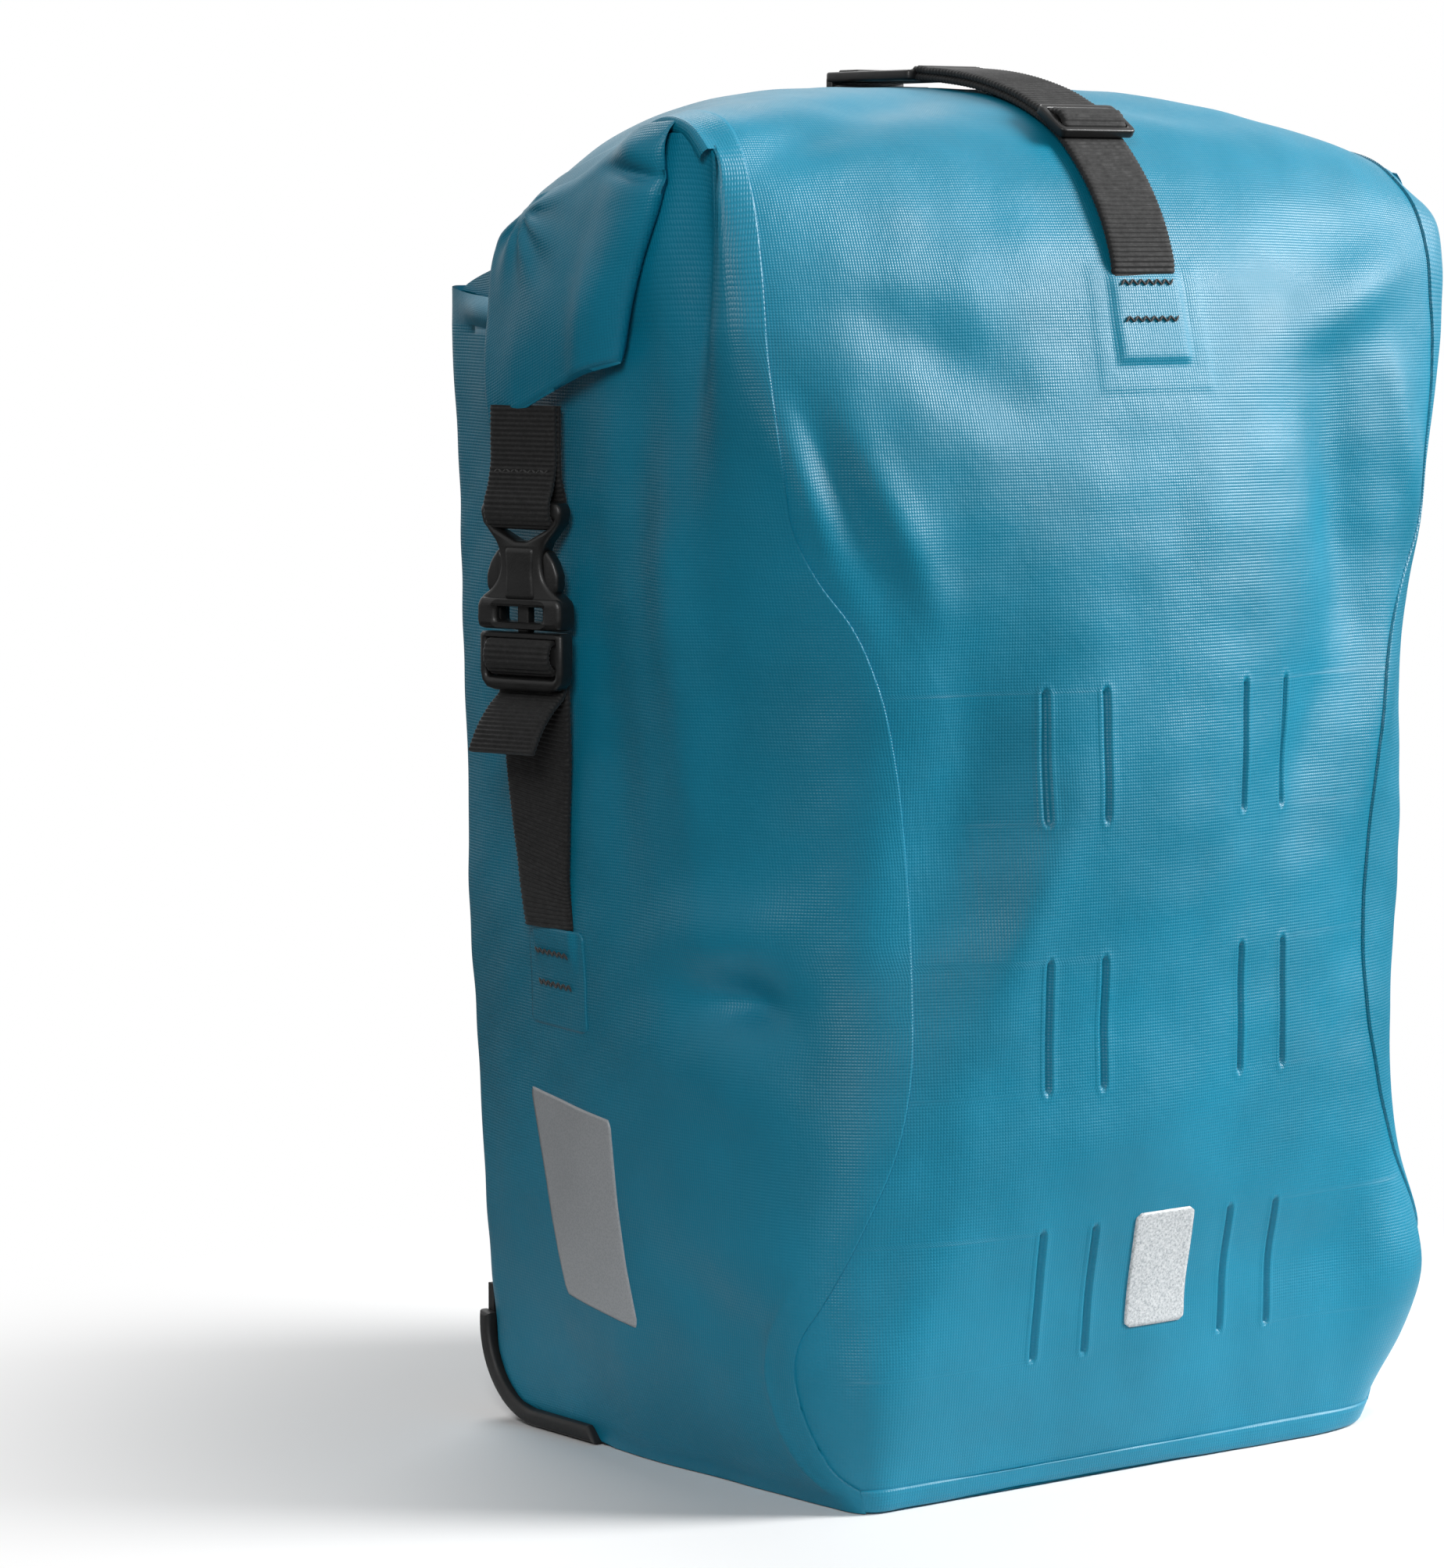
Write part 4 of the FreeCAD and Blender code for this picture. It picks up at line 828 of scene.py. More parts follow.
def face_matrix(origin, right, up, out):
    """From a drawing plane (right, up) to the part's frame; the drawing's depth runs along out."""
    matrix = Matrix.Identity(4)
    for column, axis in enumerate((right, up, out)):
        for row in range(3):
            matrix[row][column] = axis[row]
    matrix.translation = Vector(origin) * MM
    return matrix


# ---------------------------------------------------------------- materials

def linear(grey_or_colour):
    """Screen values 0-255 to the renderer's own scale."""
    values = np.atleast_1d(np.asarray(grey_or_colour, float)) / 255.0
    values = np.repeat(values, 3) if len(values) == 1 else values
    return tuple(np.where(values <= 0.04045, values / 12.92, ((values + 0.055) / 1.055)**2.4)) + (1.0,)


class Finish:
    """A material under construction: shader sockets, and chains of texture nodes into them."""

    def __init__(self, name, roughness, **sockets):
        self.material = bpy.data.materials.new(name)
        self.material.use_nodes = True
        self.tree = self.material.node_tree
        self.shader = self.tree.nodes["Principled BSDF"]
        self.shader.inputs["Roughness"].default_value = roughness
        for socket, value in sockets.items():
            self.shader.inputs[socket.replace("_", " ")].default_value = value

    def node(self, kind, inputs=None, **settings):
        made = self.tree.nodes.new(kind)
        for key, value in settings.items():
            setattr(made, key, value)
        for key, value in (inputs or {}).items():
            if isinstance(value, bpy.types.NodeSocket):
                self.tree.links.new(value, made.inputs[key])
            else:
                made.inputs[key].default_value = value
        return made

    def place(self, uv=False):
        if uv:
            return self.node("ShaderNodeUVMap", uv_map="cloth").outputs["UV"]
        return self.node("ShaderNodeTexCoord").outputs["Object"]

    def noise(self, scale, detail=3.0, rough=0.55):
        inputs = {"Vector": self.place(), "Scale": scale, "Detail": detail, "Roughness": rough}
        return self.node("ShaderNodeTexNoise", inputs).outputs["Fac"]

    def ramp(self, value, stops):
        made = self.node("ShaderNodeValToRGB", {"Fac": value})
        while len(made.color_ramp.elements) < len(stops):
            made.color_ramp.elements.new(0.5)
        for element, (at, colour) in zip(made.color_ramp.elements, stops):
            element.position = at
            element.color = colour
        return made.outputs["Color"]

    def spread(self, value, low, high):
        inputs = {"Value": value, "From Min": 0.3, "From Max": 0.7, "To Min": low, "To Max": high}
        return self.node("ShaderNodeMapRange", inputs).outputs["Result"]

    def math(self, operation, a, b=0.0):
        return self.node("ShaderNodeMath", {0: a, 1: b}, operation=operation).outputs[0]

    def bump(self, height, strength, distance, after=None):
        inputs = {"Height": height, "Strength": strength, "Distance": distance}
        if after is not None:
            inputs["Normal"] = after
        return self.node("ShaderNodeBump", inputs).outputs["Normal"]

    def into(self, socket, value):
        self.tree.links.new(value, self.shader.inputs[socket])


def woven(finish, pitch):
    """Plain weave heights: warp and weft threads that cross over and under."""
    axes = finish.node("ShaderNodeSeparateXYZ", {"Vector": finish.place(True)})
    turn = math.pi / (pitch * MM)
    x = finish.math("MULTIPLY", axes.outputs["X"], turn)
    y = finish.math("MULTIPLY", axes.outputs["Y"], turn)
    over = finish.math("MULTIPLY", finish.math("SINE", x), finish.math("SINE", y))
    return finish.math("ABSOLUTE", over)


def make_fabric():
    """Coated plain-weave cloth, petrol blue, semi-matt."""
    base = (8, 119, 147)
    made = Finish("coated_weave", 0.40, Specular_IOR_Level=0.34)
    patches = made.noise(14.0, 4.0)
    dark, light = [linear([c * k for c in base]) for k in (0.93, 1.05)]
    made.into("Base Color", made.ramp(patches, [(0.32, dark), (0.68, light)]))
    made.into("Roughness", made.spread(made.noise(60.0, 3.0), 0.36, 0.45))
    weave = woven(made, 0.95)
    grain = made.noise(2400.0, 2.0)
    soft = made.bump(made.noise(230.0, 3.0), 0.22, 0.0006)
    fine = made.bump(weave, 0.36, 0.00024, soft)
    made.into("Normal", made.bump(grain, 0.16, 0.00012, fine))
    return made.material


def make_webbing_finish():
    made = Finish("ribbed_tape", 0.72, Sheen_Weight=0.08, Sheen_Roughness=0.5, Specular_IOR_Level=0.25)
    made.into("Base Color", made.ramp(made.noise(900.0, 4.0, rough=0.7),
                                      [(0.30, linear(16)), (0.55, linear(27)), (0.74, linear(44))]))
    made.into("Roughness", made.spread(made.noise(400.0), 0.62, 0.80))
    made.into("Normal", made.bump(made.noise(2600.0, 3.0), 0.40, 0.00014))
    return made.material


def make_plastic(name, grey, roughness, grain=1500.0, depth=0.00011, wear=1.25, **sockets):
    made = Finish(name, roughness, Specular_IOR_Level=0.30, **sockets)
    low, mid, high = linear(grey * 0.86), linear(grey), linear(grey * wear)
    broad_noise = made.noise(90.0, 5.0, rough=0.65)
    made.into("Base Color", made.ramp(broad_noise, [(0.25, low), (0.5, mid), (0.80, high)]))
    made.into("Roughness", made.spread(made.noise(160.0, 4.0), roughness - 0.06, roughness + 0.08))
    broad = made.bump(made.noise(120.0, 2.0), 0.10, 0.0006)
    made.into("Normal", made.bump(made.noise(grain, 2.0), 0.30, depth, broad))
    return made.material


def make_reflector():
    """Grey retroreflective film: fine beads under a clear smooth face."""
    made = Finish("bead_film", 0.38, Coat_Weight=0.25, Coat_Roughness=0.22)
    cells = made.node("ShaderNodeTexVoronoi", {"Vector": made.place(), "Scale": 1500.0}).outputs["Distance"]
    made.into("Base Color", made.ramp(cells, [(0.05, linear([148, 152, 156])), (0.7, linear([166, 169, 172]))]))
    made.into("Roughness", made.spread(made.noise(90.0, 3.0), 0.34, 0.46))
    made.into("Normal", made.bump(cells, 0.12, 0.00008, made.bump(made.noise(120.0), 0.10, 0.0004)))
    return made.material


def make_label():
    """Speckled light grey film on the front."""
    made = Finish("speckled_film", 0.46, Coat_Weight=0.15, Coat_Roughness=0.3)
    speck = made.noise(1300.0, 3.0, rough=0.75)
    made.into("Base Color", made.ramp(speck, [(0.34, linear([140, 146, 150])), (0.5, linear([182, 186, 188])),
                                              (0.66, linear([205, 207, 208]))]))
    made.into("Roughness", made.spread(made.noise(300.0), 0.40, 0.55))
    made.into("Normal", made.bump(speck, 0.25, 0.00012))
    return made.material


def make_thread():
    made = Finish("thread_twist", 0.66, Sheen_Weight=0.2)
    made.into("Base Color", made.ramp(made.noise(1800.0, 2.0), [(0.35, linear(14)), (0.65, linear(30))]))
    made.into("Normal", made.bump(made.noise(3600.0, 2.0), 0.5, 0.00012))
    return made.material


def make_metal():
    made = Finish("plain_steel", 0.32, Metallic=1.0)
    brushed = made.noise(700.0, 3.0)
    made.into("Base Color", made.ramp(brushed, [(0.3, linear(150)), (0.7, linear(196))]))
    made.into("Roughness", made.spread(made.noise(300.0), 0.24, 0.42))
    made.into("Normal", made.bump(brushed, 0.15, 0.0001))
    return made.material


def make_rubber():
    made = Finish("insert_rubber_skin", 0.78)
    made.into("Base Color", made.ramp(made.noise(260.0, 4.0), [(0.3, linear(30)), (0.7, linear(44))]))
    made.into("Normal", made.bump(made.noise(1200.0, 3.0), 0.4, 0.00015))
    return made.material


# ---------------------------------------------------------------- making the pieces

FABRIC = make_fabric()
TAPE = make_webbing_finish()
THREAD = make_thread()
BUCKLE = make_plastic("buckle_shell", 24, 0.36)
GUARD = make_plastic("guard_shell", 26, 0.48, grain=900.0, depth=0.00020, wear=1.4)
RAIL = make_plastic("rail_shell", 34, 0.44, grain=1100.0, depth=0.00012)
BOARD = make_plastic("board_sheet", 44, 0.50, grain=500.0)
FILM, LABEL = make_reflector(), make_label()
STEEL, RUBBER = make_metal(), make_rubber()


def finish_piece(piece, body, slot, material, *stands_for):
    """Give a finished piece its material and its body, and hide the CAD nodes it stands for."""
    piece.data.materials.clear()
    piece.data.materials.append(material)
    if body:
        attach(piece, body)
    if stands_for:
        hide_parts(*stands_for)
    return piece


front = finish_piece(make_front(), None, "bag_fabric", FABRIC, "front_panel", "roll_top", "rolled_layers")
sides = {hand: finish_piece(make_side(name, hand), None, "bag_fabric", FABRIC, f"{name}_side_panel")
         for name, hand in SIDES}
back = finish_piece(make_back(), None, "bag_fabric", FABRIC, "back_panel")
base = finish_piece(make_base(), "bag", "bag_fabric", FABRIC, "bottom_panel")
for piece in (front, sides[-1], sides[1], back):
    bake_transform(piece)
flaps = {hand: finish_piece(make_flap(name, hand), "closure", "bag_fabric", FABRIC, f"{name}_end_flap")
         for name, hand in SIDES}
FRONT_CLOTH = Cloth(front)
SIDE_CLOTH = {hand: Cloth(sides[hand]) for hand in sides}
CLEAR_FRONT, CLEAR_SIDE = -160, 200  # where the lines that look for the cloth start


def front_at(across, height, lift=0.45):
    return FRONT_CLOTH.at((across, CLEAR_FRONT, height), Y_WAY, lift)


def side_at(hand, depth, height, lift):
    return SIDE_CLOTH[hand].at((hand * CLEAR_SIDE, depth, height), (-hand, 0, 0), lift)


# The front label.
LABEL_HALF = 12
label_z, label_in = rounded_rect(46, 82, 2.0, 30)
label_grid = np.array([[front_at(x, z, 0.25) for x in np.linspace(-LABEL_HALF + cut, LABEL_HALF - cut, 22)]
                       for z, cut in zip(label_z, label_in)])
finish_piece(patch_piece("front_label", label_grid, 0.25, 0.35), "bag", "reflector_film", LABEL, "front_reflector")


# ---------------------------------------------------------------- top strap, glide and hook

STRAP_LINE = [(-86.6, 360), (-89.4, 367), (-87.2, 376), (-81.6, 387.5), (-72.6, 399.5), (-61.5, 409.8),
              (-50, 416), (-38, 420.4), (-23, 424.0), (-8, 426.0), (5, 427.0)]
GLIDE_AT = 5


def strap_offset(line, at, rise):
    """A point over the strap's line, by its place on it."""
    before, after = line[max(at - 1, 0)], line[min(at + 1, len(line) - 1)]
    run = (after - before) / np.linalg.norm(after - before)
    return line[at] + np.array([0, -run[2], run[1]]) * rise


def make_top_strap():
    line = path([(0, y, z) for y, z in STRAP_LINE], 240)
    lower = webbing_piece("top_strap_web", line, [X_WAY] * 2)
    centre = int(np.argmin(abs(line[:, 1] - STRAP_LINE[GLIDE_AT][0])))
    per = np.linalg.norm(line[centre + 1] - line[centre])
    # Places along the strap from the glide, and how far the upper layer lies over it there.
    over = [(-4.6, 1.4), (-2.9, 4.3), (0, 5.6), (2.9, 4.4), (5.2, 2.9), (9, 2.15), (20, 2.1), (34, 2.1)]
    upper = [strap_offset(line, int(centre + along / per), rise) for along, rise in over]
    end = len(line) - 1
    upper += [strap_offset(line, end - int(7 / per), 2.1), strap_offset(line, end, 1.9),
              line[end] + np.array([0, 1.4, 0.8])]
    fold = webbing_piece("strap_fold_web", upper, [X_WAY] * 2)
    run = line[centre + 4] - line[centre - 4]
    run /= np.linalg.norm(run)
    out = np.array([0, -run[2], run[1]])
    frame_outline = rounded([(15.1, -7.2), (15.1, 7.2), (-15.1, 7.2), (-15.1, -7.2)], 2.2)
    holes = [rounded(box_outline(12.9, low, high), 0.9) for low, high in ((-5.0, -1.6), (1.6, 5.0))]
    glide = plate_piece("tri_glide_shell", [frame_outline] + holes, 3.0, 0.7,
                        face_matrix(line[centre] + out * 2.9, X_WAY, run, out))
    return lower, fold, glide, line[end]


def make_hook(end):
    half, length, thick = 15.5, 42.0, 3.2
    outline = rounded([(half, 0), (half, length), (-half, length), (-half, 0)], 2.4)
    loop = rounded(box_outline(12.9, 2.8, 6.6), 1.0)
    window = rounded(box_outline(12.4, 11.0, 27.0), 1.6)
    origin = end + np.array([0, -1.6, 0.6])
    plate = plate_piece("hook_body", [outline, loop, window], thick, 0.8, face_matrix(origin, X_WAY, Y_WAY, Z_WAY))
    ridge = rounded([(half - 3, 30), (half - 3, 39), (-half + 3, 39), (-half + 3, 30)], 1.5)
    rib = plate_piece("hook_rib", [ridge], 1.6, 0.6,
                      face_matrix(origin + np.array([0, 0, 1.5]), X_WAY, Y_WAY, Z_WAY))
    lip_at = origin + np.array([0, length - 1.7, -4.0])
    lip = plate_piece("hook_lip", [rounded(box_outline(half - 0.4, -4.6, 4.8), 1.6)], 3.0, 0.8,
                      face_matrix(lip_at, (-1, 0, 0), Z_WAY, Y_WAY))
    return joined("strap_hook_shell", [plate, rib, lip])


strap, fold, glide, strap_end = make_top_strap()
finish_piece(strap, "top_strap", "webbing", TAPE, "top_strap")
finish_piece(fold, "top_strap", "webbing", TAPE, "strap_fold")
finish_piece(glide, "top_strap", "buckle_plastic", BUCKLE, "tri_glide")
finish_piece(make_hook(strap_end), "top_strap", "buckle_plastic", BUCKLE, "strap_hook")


stitches = stitch_rows("strap_stitching", (363.5, 352.5), front_at)
finish_piece(stitches, "bag", "thread", THREAD, "strap_anchor_stitching")


# ---------------------------------------------------------------- side buckles

BUCKLE_AT = (149.5, 22.0, 258.5)
BUCKLE_TURN = 16.0


def buckle_axes(hand):
    angle = math.radians(180 + BUCKLE_TURN if hand < 0 else -BUCKLE_TURN)
    out = np.array([math.cos(angle), math.sin(angle), 0.0])
    across = np.array([-math.sin(angle), math.cos(angle), 0.0])
    return np.array([hand * BUCKLE_AT[0], BUCKLE_AT[1], BUCKLE_AT[2]]), across, out


def in_buckle(hand, out_by, across_by, up):
    origin, across, out = buckle_axes(hand)
    return origin + out * out_by + across * across_by + np.array([0, 0, up])


def buckle_plate(name, hand, outlines, depth, bevel):
    origin, across, out = buckle_axes(hand)
    return plate_piece(name, outlines, depth, bevel, face_matrix(origin, across, Z_WAY, out))


SOCKET_HALF = [(15.4, 0.2), (16.2, 3.0), (16.1, 8.2), (15.0, 10.2), (11.8, 12.2), (9.0, 15.4), (7.9, 19.0),
               (8.0, 23.0), (9.4, 26.6), (12.4, 29.8), (15.0, 33.2), (15.6, 36.4), (14.6, 38.6), (12.5, 39.2)]
PLUG_HALF = [(10.2, -18.4), (13.4, -17.6), (15.2, -15.6), (15.9, -12.8), (15.9, -1.6), (15.2, -0.7)]
PRONG_AT = 13.6


def make_socket(name, hand):
    outline = rounded(both_halves(SOCKET_HALF), 2.2, 6)
    window = rounded(box_outline(9.6, 2.2, 7.8), 1.2)
    triangle = rounded([(-12.9, 33.6), (12.9, 33.6), (10.4, 31.2), (2.2, 27.2), (-2.2, 27.2), (-10.4, 31.2)],
                       0.9)
    body = buckle_plate(f"{name}_socket_body", hand, [outline, window, triangle], 6.4, 1.5)
    collar = buckle_plate(f"{name}_socket_collar", hand,
                          [rounded(both_halves([(15.6, 0.4), (16.3, 3.0), (16.1, 8.0), (14.8, 10.0)]), 1.4),
                           rounded(box_outline(8.8, 2.6, 7.4), 1.2)], 8.6, 1.9)
    spine = buckle_plate(f"{name}_socket_spine", hand,
                         [rounded(both_halves([(6.0, 9.0), (5.2, 18.0), (5.8, 25.5)]), 2.0)], 7.8, 1.5)
    bar = buckle_plate(f"{name}_socket_bar", hand, [rounded(both_halves([(14.2, 34.4), (13.8, 38.4)]), 1.2)],
                       5.4, 1.2)
    return joined(f"{name}_socket_shell", [body, collar, spine, bar])


def make_plug(name, hand):
    outline = both_halves(PLUG_HALF)
    upper = rounded(box_outline(13.0, -4.4, -2.2), 0.8)
    lower = rounded(box_outline(13.0, -14.4, -10.8), 1.1)
    body = buckle_plate(f"{name}_plug_body", hand, [outline, upper, lower], 6.4, 1.3)
    guide = buckle_plate(f"{name}_plug_guide", hand, [rounded(box_outline(2.2, -1.0, 17.0), 1.2)], 3.6, 0.8)
    return joined(f"{name}_plug_shell", [body, guide])


def make_prong(name, hand, end, side):
    shape = [(-5.2, 0.2), (-0.2, 0.2), (-1.8, 6.0), (-1.4, 10.8), (0.1, 12.8), (0.2, 17.0), (-1.4, 21.0),
             (-4.4, 24.8), (-6.2, 22.8), (-5.0, 12.0)]
    outline = rounded([(side * (PRONG_AT + x), y) for x, y in shape], 1.2)
    return buckle_plate(f"{name}_{end}_prong_shell", hand, [outline], 4.6, 1.2)


ANCHOR_BACK, ANCHOR_FOOT, ANCHOR_HEAD, ANCHOR_HALF = 35.5, 133.5, 165.0, 18.0


def make_side_webbing(name, hand):
    _, across, out = buckle_axes(hand)
    loop = [(-1.1, 68), (-1.1, 54), (-1.6, 46), (-3.6, 39.6), (-3.9, 35.6), (-1.8, 32.2), (1.6, 32.0),
            (4.1, 34.6), (4.4, 38.4), (2.6, 43.4), (1.1, 50), (1.0, 58), (1.0, 68)]
    upper = webbing_piece(f"{name}_upper_web", [in_buckle(hand, x, 0, z) for x, z in loop], [across] * 2)
    top, knee = in_buckle(hand, -4.4, 0, -3.2), in_buckle(hand, -5.2, 0, -22)
    foot = side_at(hand, ANCHOR_BACK, 173, 1.8)
    sewn = side_at(hand, ANCHOR_BACK, 165, 1.35)
    waist = foot + (knee - foot) * 0.45 + np.array([hand * 0.8, 0, 0])
    aft = np.array([0.0, hand, 0.0])
    start = in_buckle(hand, -0.6, 0, -3.3)
    line = [start, top, in_buckle(hand, -4.9, 0, -10), knee, waist, foot, sewn]
    lower = webbing_piece(f"{name}_lower_web", line, [across, across, across, lerp(across, aft, 0.5), aft, aft])
    drop = [(0.4, -3.2), (3.2, -3.6), (4.6, -5.6), (4.7, -9.4), (2.4, -12.0), (-1.4, -13.4), (-4.0, -16.0),
            (-2.8, -19.6), (1.6, -23.0), (6.0, -27.0), (9.6, -31.6), (12.4, -36.4)]
    tail = webbing_piece(f"{name}_tail_web", [in_buckle(hand, x, 0, z) for x, z in drop], [across] * 2)
    return upper, lower, tail


def anchor_rise(height):
    """How far the anchor patch stands off the side where the strap's end runs under it."""
    return 1.5 * smooth(height, 148, 164)


def make_anchor(name, hand):
    heights, inset = rounded_rect(ANCHOR_FOOT, ANCHOR_HEAD, 2.5, 36)
    spans = [np.linspace(ANCHOR_BACK - ANCHOR_HALF + cut, ANCHOR_BACK + ANCHOR_HALF - cut, 44) for cut in inset]
    if hand < 0:
        spans = [span[::-1] for span in spans]
    rows = []
    for span, height in zip(spans, heights):
        row = []
        for depth in span:
            over = 1 - smooth(abs(depth - ANCHOR_BACK), 11.5, 15.0)
            row.append(side_at(hand, depth, height, 0.05 + over * anchor_rise(height)))
        rows.append(row)
    return patch_piece(f"{name}_anchor_skin", np.array(rows), 0.3, 0.5)


def make_mark(name, hand):
    """Slanted reflector patch low on the side."""
    rows = []
    for share in np.concatenate([[0.0, 0.015], np.linspace(0.04, 0.96, 40), [0.985, 1.0]]):
        height = lerp(45.5, 109.5, share)
        fore = lerp(1.0, 8.0, share) + 1.6 * math.sin(math.pi * share)
        aft = lerp(41.0, 56.0, share)
        cut = 1.2 * (max(0, 1 - share / 0.03) + max(0, 1 - (1 - share) / 0.03))
        span = np.linspace(fore + cut, aft - cut, 40)
        span = span if hand > 0 else span[::-1]
        tilt = np.linspace(0, 1, 40) if hand > 0 else np.linspace(1, 0, 40)
        rows.append([side_at(hand, depth, height + lerp(-1.6, 2.8, slope), 0.2)
                     for depth, slope in zip(span, tilt)])
    return patch_piece(f"{name}_mark_film", np.array(rows), 0.25, 0.4)


def side_stitch_rows(hand):
    def place(along, height):
        return side_at(hand, ANCHOR_BACK + along, height, 1.0 + anchor_rise(height))
    return stitch_rows("side_row", (157.0, 147.0), place)


def strap_stitches(name, hand):
    """Bar tacks through the webbing above the buckle and at the tail's end."""
    def above(along, height):
        return in_buckle(hand, 1.0 + 1.15, along, height)

    def tail_end(along, height):
        share = (height + 23.0) / 13.4
        return in_buckle(hand, 1.6 - share * 10.8 + 1.05, along, height + 0.4)
    upper = stitch_rows(f"{name}_upper_tack", (48.2,), above, swing=0.8)
    lower = stitch_rows(f"{name}_tail_tack", (-31.2,), tail_end, reach=10.0, swing=0.7)
    return upper, lower


side_rows = []
for name, hand in SIDES:
    plug_body = f"{name}_plug"
    finish_piece(make_socket(name, hand), "closure", "buckle_plastic", BUCKLE, f"{name}_socket")
    finish_piece(make_plug(name, hand), plug_body, "buckle_plastic", BUCKLE, f"{name}_plug")
    for end, side in (("front", -hand), ("rear", hand)):
        finish_piece(make_prong(name, hand, end, side), f"{name}_{end}_prong", "buckle_plastic", BUCKLE,
                     f"{name}_{end}_prong")
    upper, lower, tail = make_side_webbing(name, hand)
    finish_piece(upper, "closure", "webbing", TAPE, f"{name}_upper_strap")
    finish_piece(lower, "bag", "webbing", TAPE, f"{name}_lower_strap")
    finish_piece(tail, plug_body, "webbing", TAPE, f"{name}_strap_tail")
    finish_piece(make_anchor(name, hand), "bag", "bag_fabric", FABRIC, f"{name}_anchor_patch")
    finish_piece(make_mark(name, hand), "bag", "reflector_film", FILM, f"{name}_reflector")
    side_rows.append(side_stitch_rows(hand))
    upper_tack, tail_tack = strap_stitches(name, hand)
    finish_piece(upper_tack, "closure", "thread", THREAD)
    finish_piece(tail_tack, plug_body, "thread", THREAD)
finish_piece(joined("side_stitching", side_rows), "bag", "thread", THREAD, "side_anchor_stitching")
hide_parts("strap_anchor_patch")


# ---------------------------------------------------------------- carrying handle

HANDLE_HALF, HANDLE_BACK, LEVER_UP = 80.0, 138.0, 321.0


def make_handle():
    crown = [(-1.0, 4), (-0.97, 12), (-0.86, 19.5), (-0.65, 23.2), (-0.3, 25.4), (0, 26)]
    crown += [(-share, up) for share, up in reversed(crown[:-1])]
    line = [(share * HANDLE_HALF, HANDLE_BACK, LEVER_UP + up) for share, up in crown]
    strap = webbing_piece("handle_web", line, [Y_WAY] * 2, width=16.0, thick=2.0)
    ends = []
    for middle in (-HANDLE_HALF, HANDLE_HALF):
        for cheek in (-5.4, 5.4):
            outline = rounded([(-8, -4.2), (6, -4.2), (6, 6), (3, 8.4), (-5, 8.4), (-8, 6)], 1.6)
            eye = rounded([(-6.0, -2.4), (4.0, -2.4), (4.0, 2.4), (-6.0, 2.4)], 1.4)
            at = face_matrix((middle + cheek, HANDLE_BACK, LEVER_UP), Y_WAY, Z_WAY, X_WAY)
            ends.append(plate_piece("handle_cheek", [outline, eye], 3.0, 0.7, at))
        cap = rounded(box_outline(6.8, -7.6, 5.6), 1.6)
        at = face_matrix((middle, HANDLE_BACK, LEVER_UP + 6.9), X_WAY, Y_WAY, Z_WAY)
        ends.append(plate_piece("handle_cap", [cap], 2.8, 0.8, at))
    return strap, joined("handle_ends", ends)


handle, handle_ends = make_handle()
finish_piece(handle, "handle", "webbing", TAPE, "pull_handle")
finish_piece(handle_ends, "handle", "buckle_plastic", BUCKLE)


# ---------------------------------------------------------------- kick guard's rims

GUARD_CENTRE, GUARD_OUT, GUARD_IN, GUARD_END = (68.7, 30.0), 30.0, 24.6, 112.6


def make_guard_rim(name, hand):
    """The raised edge of the kick guard, round the bag's rear bottom corner."""
    def arc(radius):
        return [(GUARD_CENTRE[0] + radius * math.cos(angle), GUARD_CENTRE[1] + radius * math.sin(angle))
                for angle in np.linspace(-math.pi / 2, 0.12, 40)]
    outline = [(36, 0.3)] + arc(GUARD_OUT - 0.3) + list(reversed(arc(GUARD_IN))) + [(40, GUARD_OUT - GUARD_IN)]
    at = face_matrix((hand * GUARD_END, 0, 0), Y_WAY, Z_WAY, X_WAY)
    return plate_piece(f"{name}_guard_rim", [outline], 4.6, 1.5, at)


for name, hand in SIDES:
    finish_piece(make_guard_rim(name, hand), "bag", "guard_plastic", GUARD)


# ---------------------------------------------------------------- carried-over hardware

CARRIED = {
    GUARD: ["kick_guard"],
    RAIL: ["mount_rail", "lower_rail"],
    BOARD: ["stiffener_board", "stiffener_strip"],
    BUCKLE: ["left_hook", "right_hook", "left_latch", "right_latch", "lower_hook", "lower_carriage", "hook_loop"],
    STEEL: ["guard_screws", "rail_screws", "lower_rail_screws", "latch_pins"],
    RUBBER: ["left_tube_insert", "right_tube_insert"],
}
for material, nodes in CARRIED.items():
    for node in nodes:
        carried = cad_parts[node]
        for slot in carried.material_slots:
            slot.material = material


# ---------------------------------------------------------------- camera, lights and background

AZIMUTH, ELEVATION = math.radians(-40.0), math.radians(5.5)
TARGET = Vector((0.0, 0.0, 0.210))
DISTANCE, ASIDE, BELOW = 1.750, 0.0725, 0.006
RIGHT = Vector((math.cos(AZIMUTH), math.sin(AZIMUTH), 0))
BACKWARD = Vector((math.sin(AZIMUTH) * math.cos(ELEVATION), -math.cos(AZIMUTH) * math.cos(ELEVATION),
                   math.sin(ELEVATION)))
UP = BACKWARD.cross(RIGHT)

lens = bpy.data.cameras.new("camera")
lens.sensor_fit = "HORIZONTAL"
lens.sensor_width = 36.0
lens.lens = 137.3
camera = linked("camera", lens)
aim = TARGET - RIGHT * ASIDE - UP * BELOW
eye = TARGET + BACKWARD * DISTANCE
camera.location = eye
camera.rotation_euler = (aim - eye).to_track_quat("-Z", "Y").to_euler()
bpy.context.scene.camera = camera


def area_light(name, where, towards, size, power):
    lamp = bpy.data.lights.new(name, "AREA")
    lamp.shape = "DISK"
    lamp.size = size
    lamp.energy = power
    holder = linked(name, lamp)
    holder.location = where
    holder.rotation_euler = (Vector(towards) - Vector(where)).to_track_quat("-Z", "Y").to_euler()


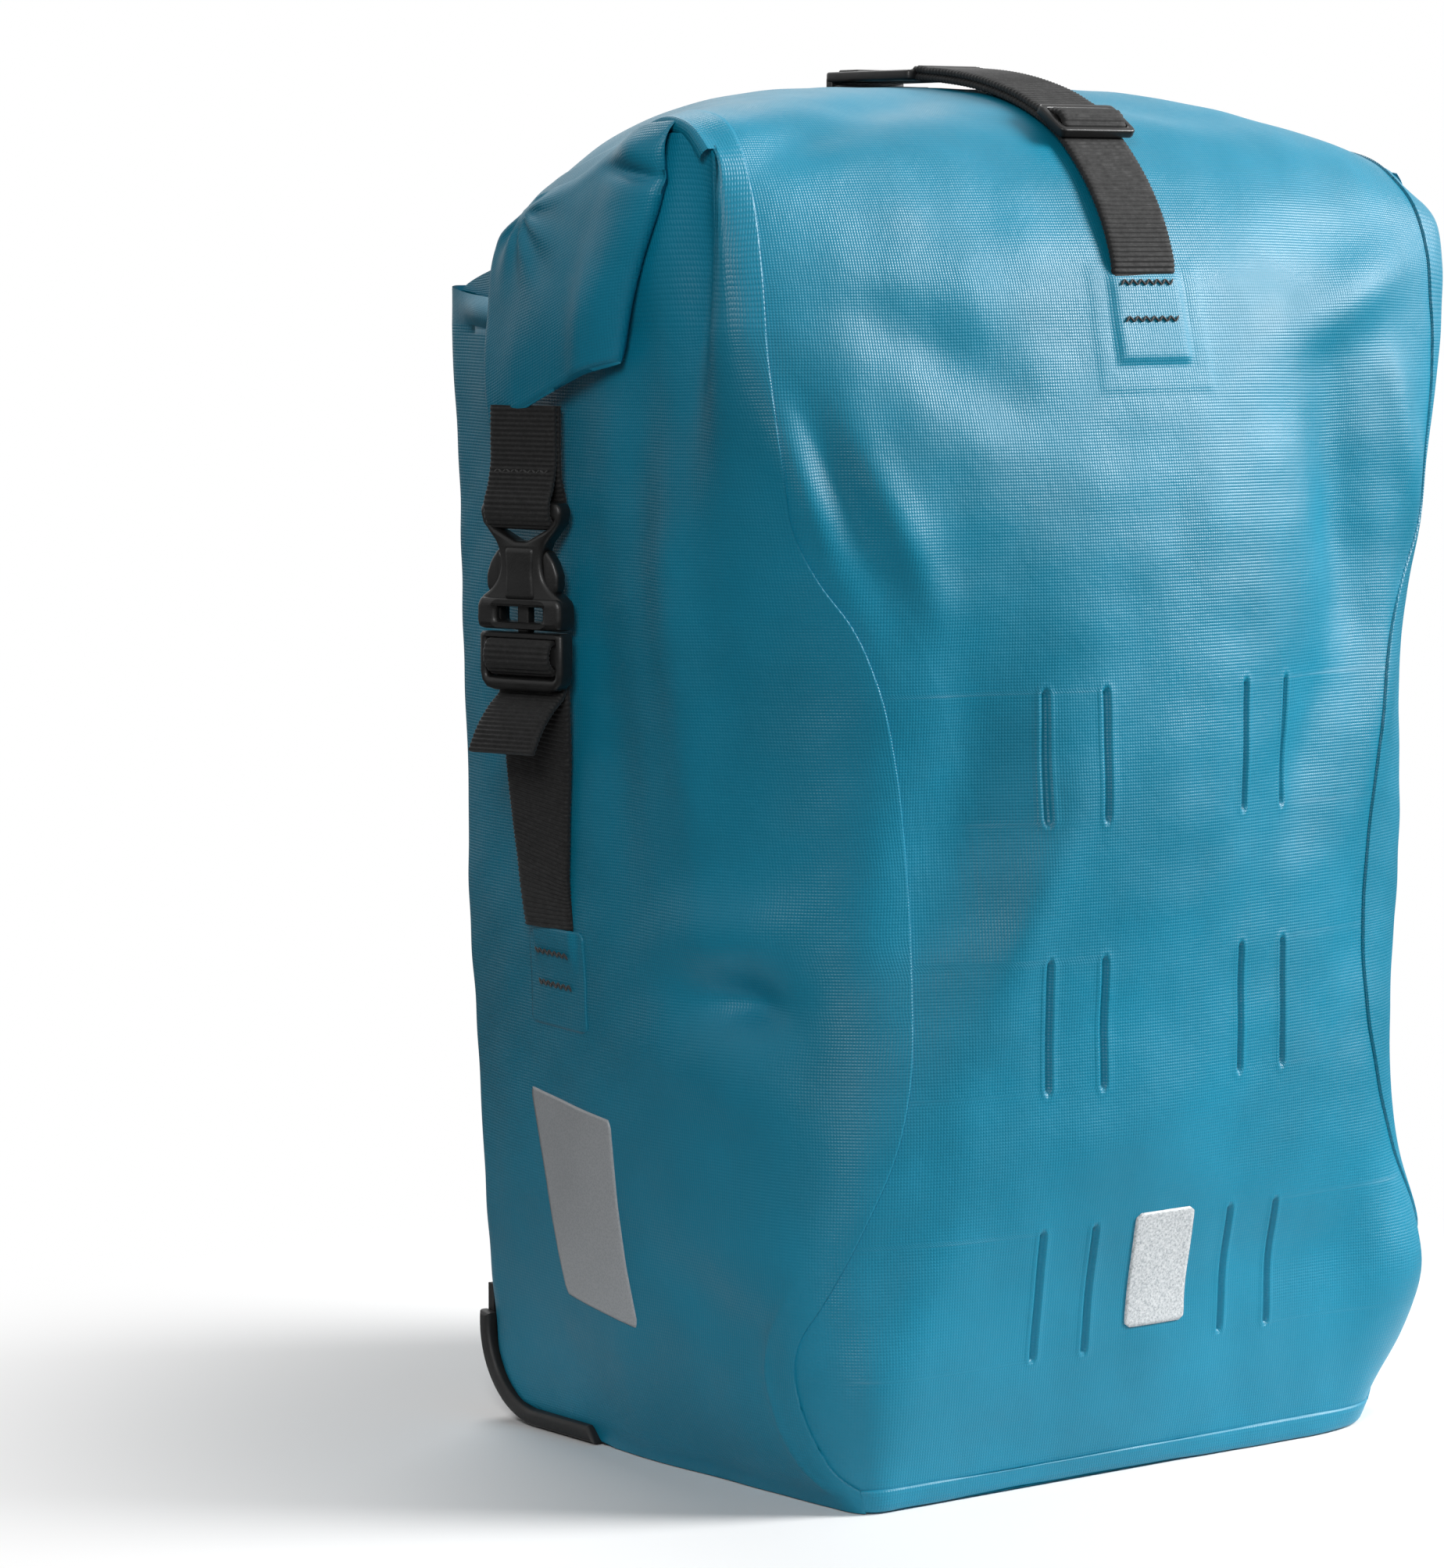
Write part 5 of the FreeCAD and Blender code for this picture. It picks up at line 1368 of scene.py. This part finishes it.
area_light("key", (1.45, -1.05, 1.05), (0.0, -0.05, 0.25), 0.85, 66)
area_light("left_fill", (-1.35, -1.25, 1.0), (0.0, 0.0, 0.2), 0.6, 17)
area_light("back_top", (0.3, 0.9, 1.7), (0.0, 0.0, 0.3), 0.9, 13)


DIM, BRIGHT = 0.10, 1.0  # the world as the pieces are lit by it, and as it is seen


def make_world():
    world = bpy.data.worlds.new("white_studio")
    world.use_nodes = True
    tree = world.node_tree
    back_node = tree.nodes["Background"]
    back_node.inputs["Color"].default_value = (1, 1, 1, 1)
    ray = tree.nodes.new("ShaderNodeLightPath")
    seen = ray.outputs["Is Camera Ray"]
    for other in ("Is Glossy Ray", "Is Transmission Ray"):
        either = tree.nodes.new("ShaderNodeMath")
        either.operation = "MAXIMUM"
        tree.links.new(seen, either.inputs[0])
        tree.links.new(ray.outputs[other], either.inputs[1])
        seen = either.outputs[0]
    level = tree.nodes.new("ShaderNodeMapRange")
    level.inputs["To Min"].default_value = DIM
    level.inputs["To Max"].default_value = BRIGHT
    tree.links.new(seen, level.inputs["Value"])
    tree.links.new(level.outputs["Result"], back_node.inputs["Strength"])
    bpy.context.scene.world = world


FLOOR_REACH, FLOOR_AT = 30.0, -0.0004


def make_floor():
    """A white floor that keeps the bag's shadow near it and is plain white further off."""
    mesh = bpy.data.meshes.new("floor")
    corners = ((-1, -1), (1, -1), (1, 1), (-1, 1))
    mesh.from_pydata([(x * FLOOR_REACH, y * FLOOR_REACH, FLOOR_AT) for x, y in corners], [], [(0, 1, 2, 3)])
    floor = linked("floor", mesh)
    finish = Finish("floor_white", 0.9)
    finish.shader.inputs["Base Color"].default_value = (0.92, 0.92, 0.92, 1)
    finish.shader.inputs["Specular IOR Level"].default_value = 0.1
    seen = finish.node("ShaderNodeLightPath").outputs["Is Camera Ray"]
    level = finish.node("ShaderNodeMapRange", {"Value": seen, "To Min": 0.12, "To Max": 1.0}).outputs["Result"]
    glow = finish.node("ShaderNodeEmission", {"Color": (1, 1, 1, 1), "Strength": level})
    away = finish.node("ShaderNodeVectorMath", {0: finish.place()}, operation="LENGTH").outputs["Value"]
    share = finish.node("ShaderNodeMapRange", {"Value": away, "From Min": 0.16, "From Max": 0.42},
                        interpolation_type="SMOOTHSTEP").outputs["Result"]
    blend = finish.node("ShaderNodeMixShader", {"Fac": share})
    finish.tree.links.new(finish.shader.outputs["BSDF"], blend.inputs[1])
    finish.tree.links.new(glow.outputs["Emission"], blend.inputs[2])
    out = finish.tree.nodes["Material Output"]
    finish.tree.links.new(blend.outputs["Shader"], out.inputs["Surface"])
    floor.data.materials.append(finish.material)


make_world()
make_floor()
bpy.context.scene.view_settings.view_transform = "Standard"
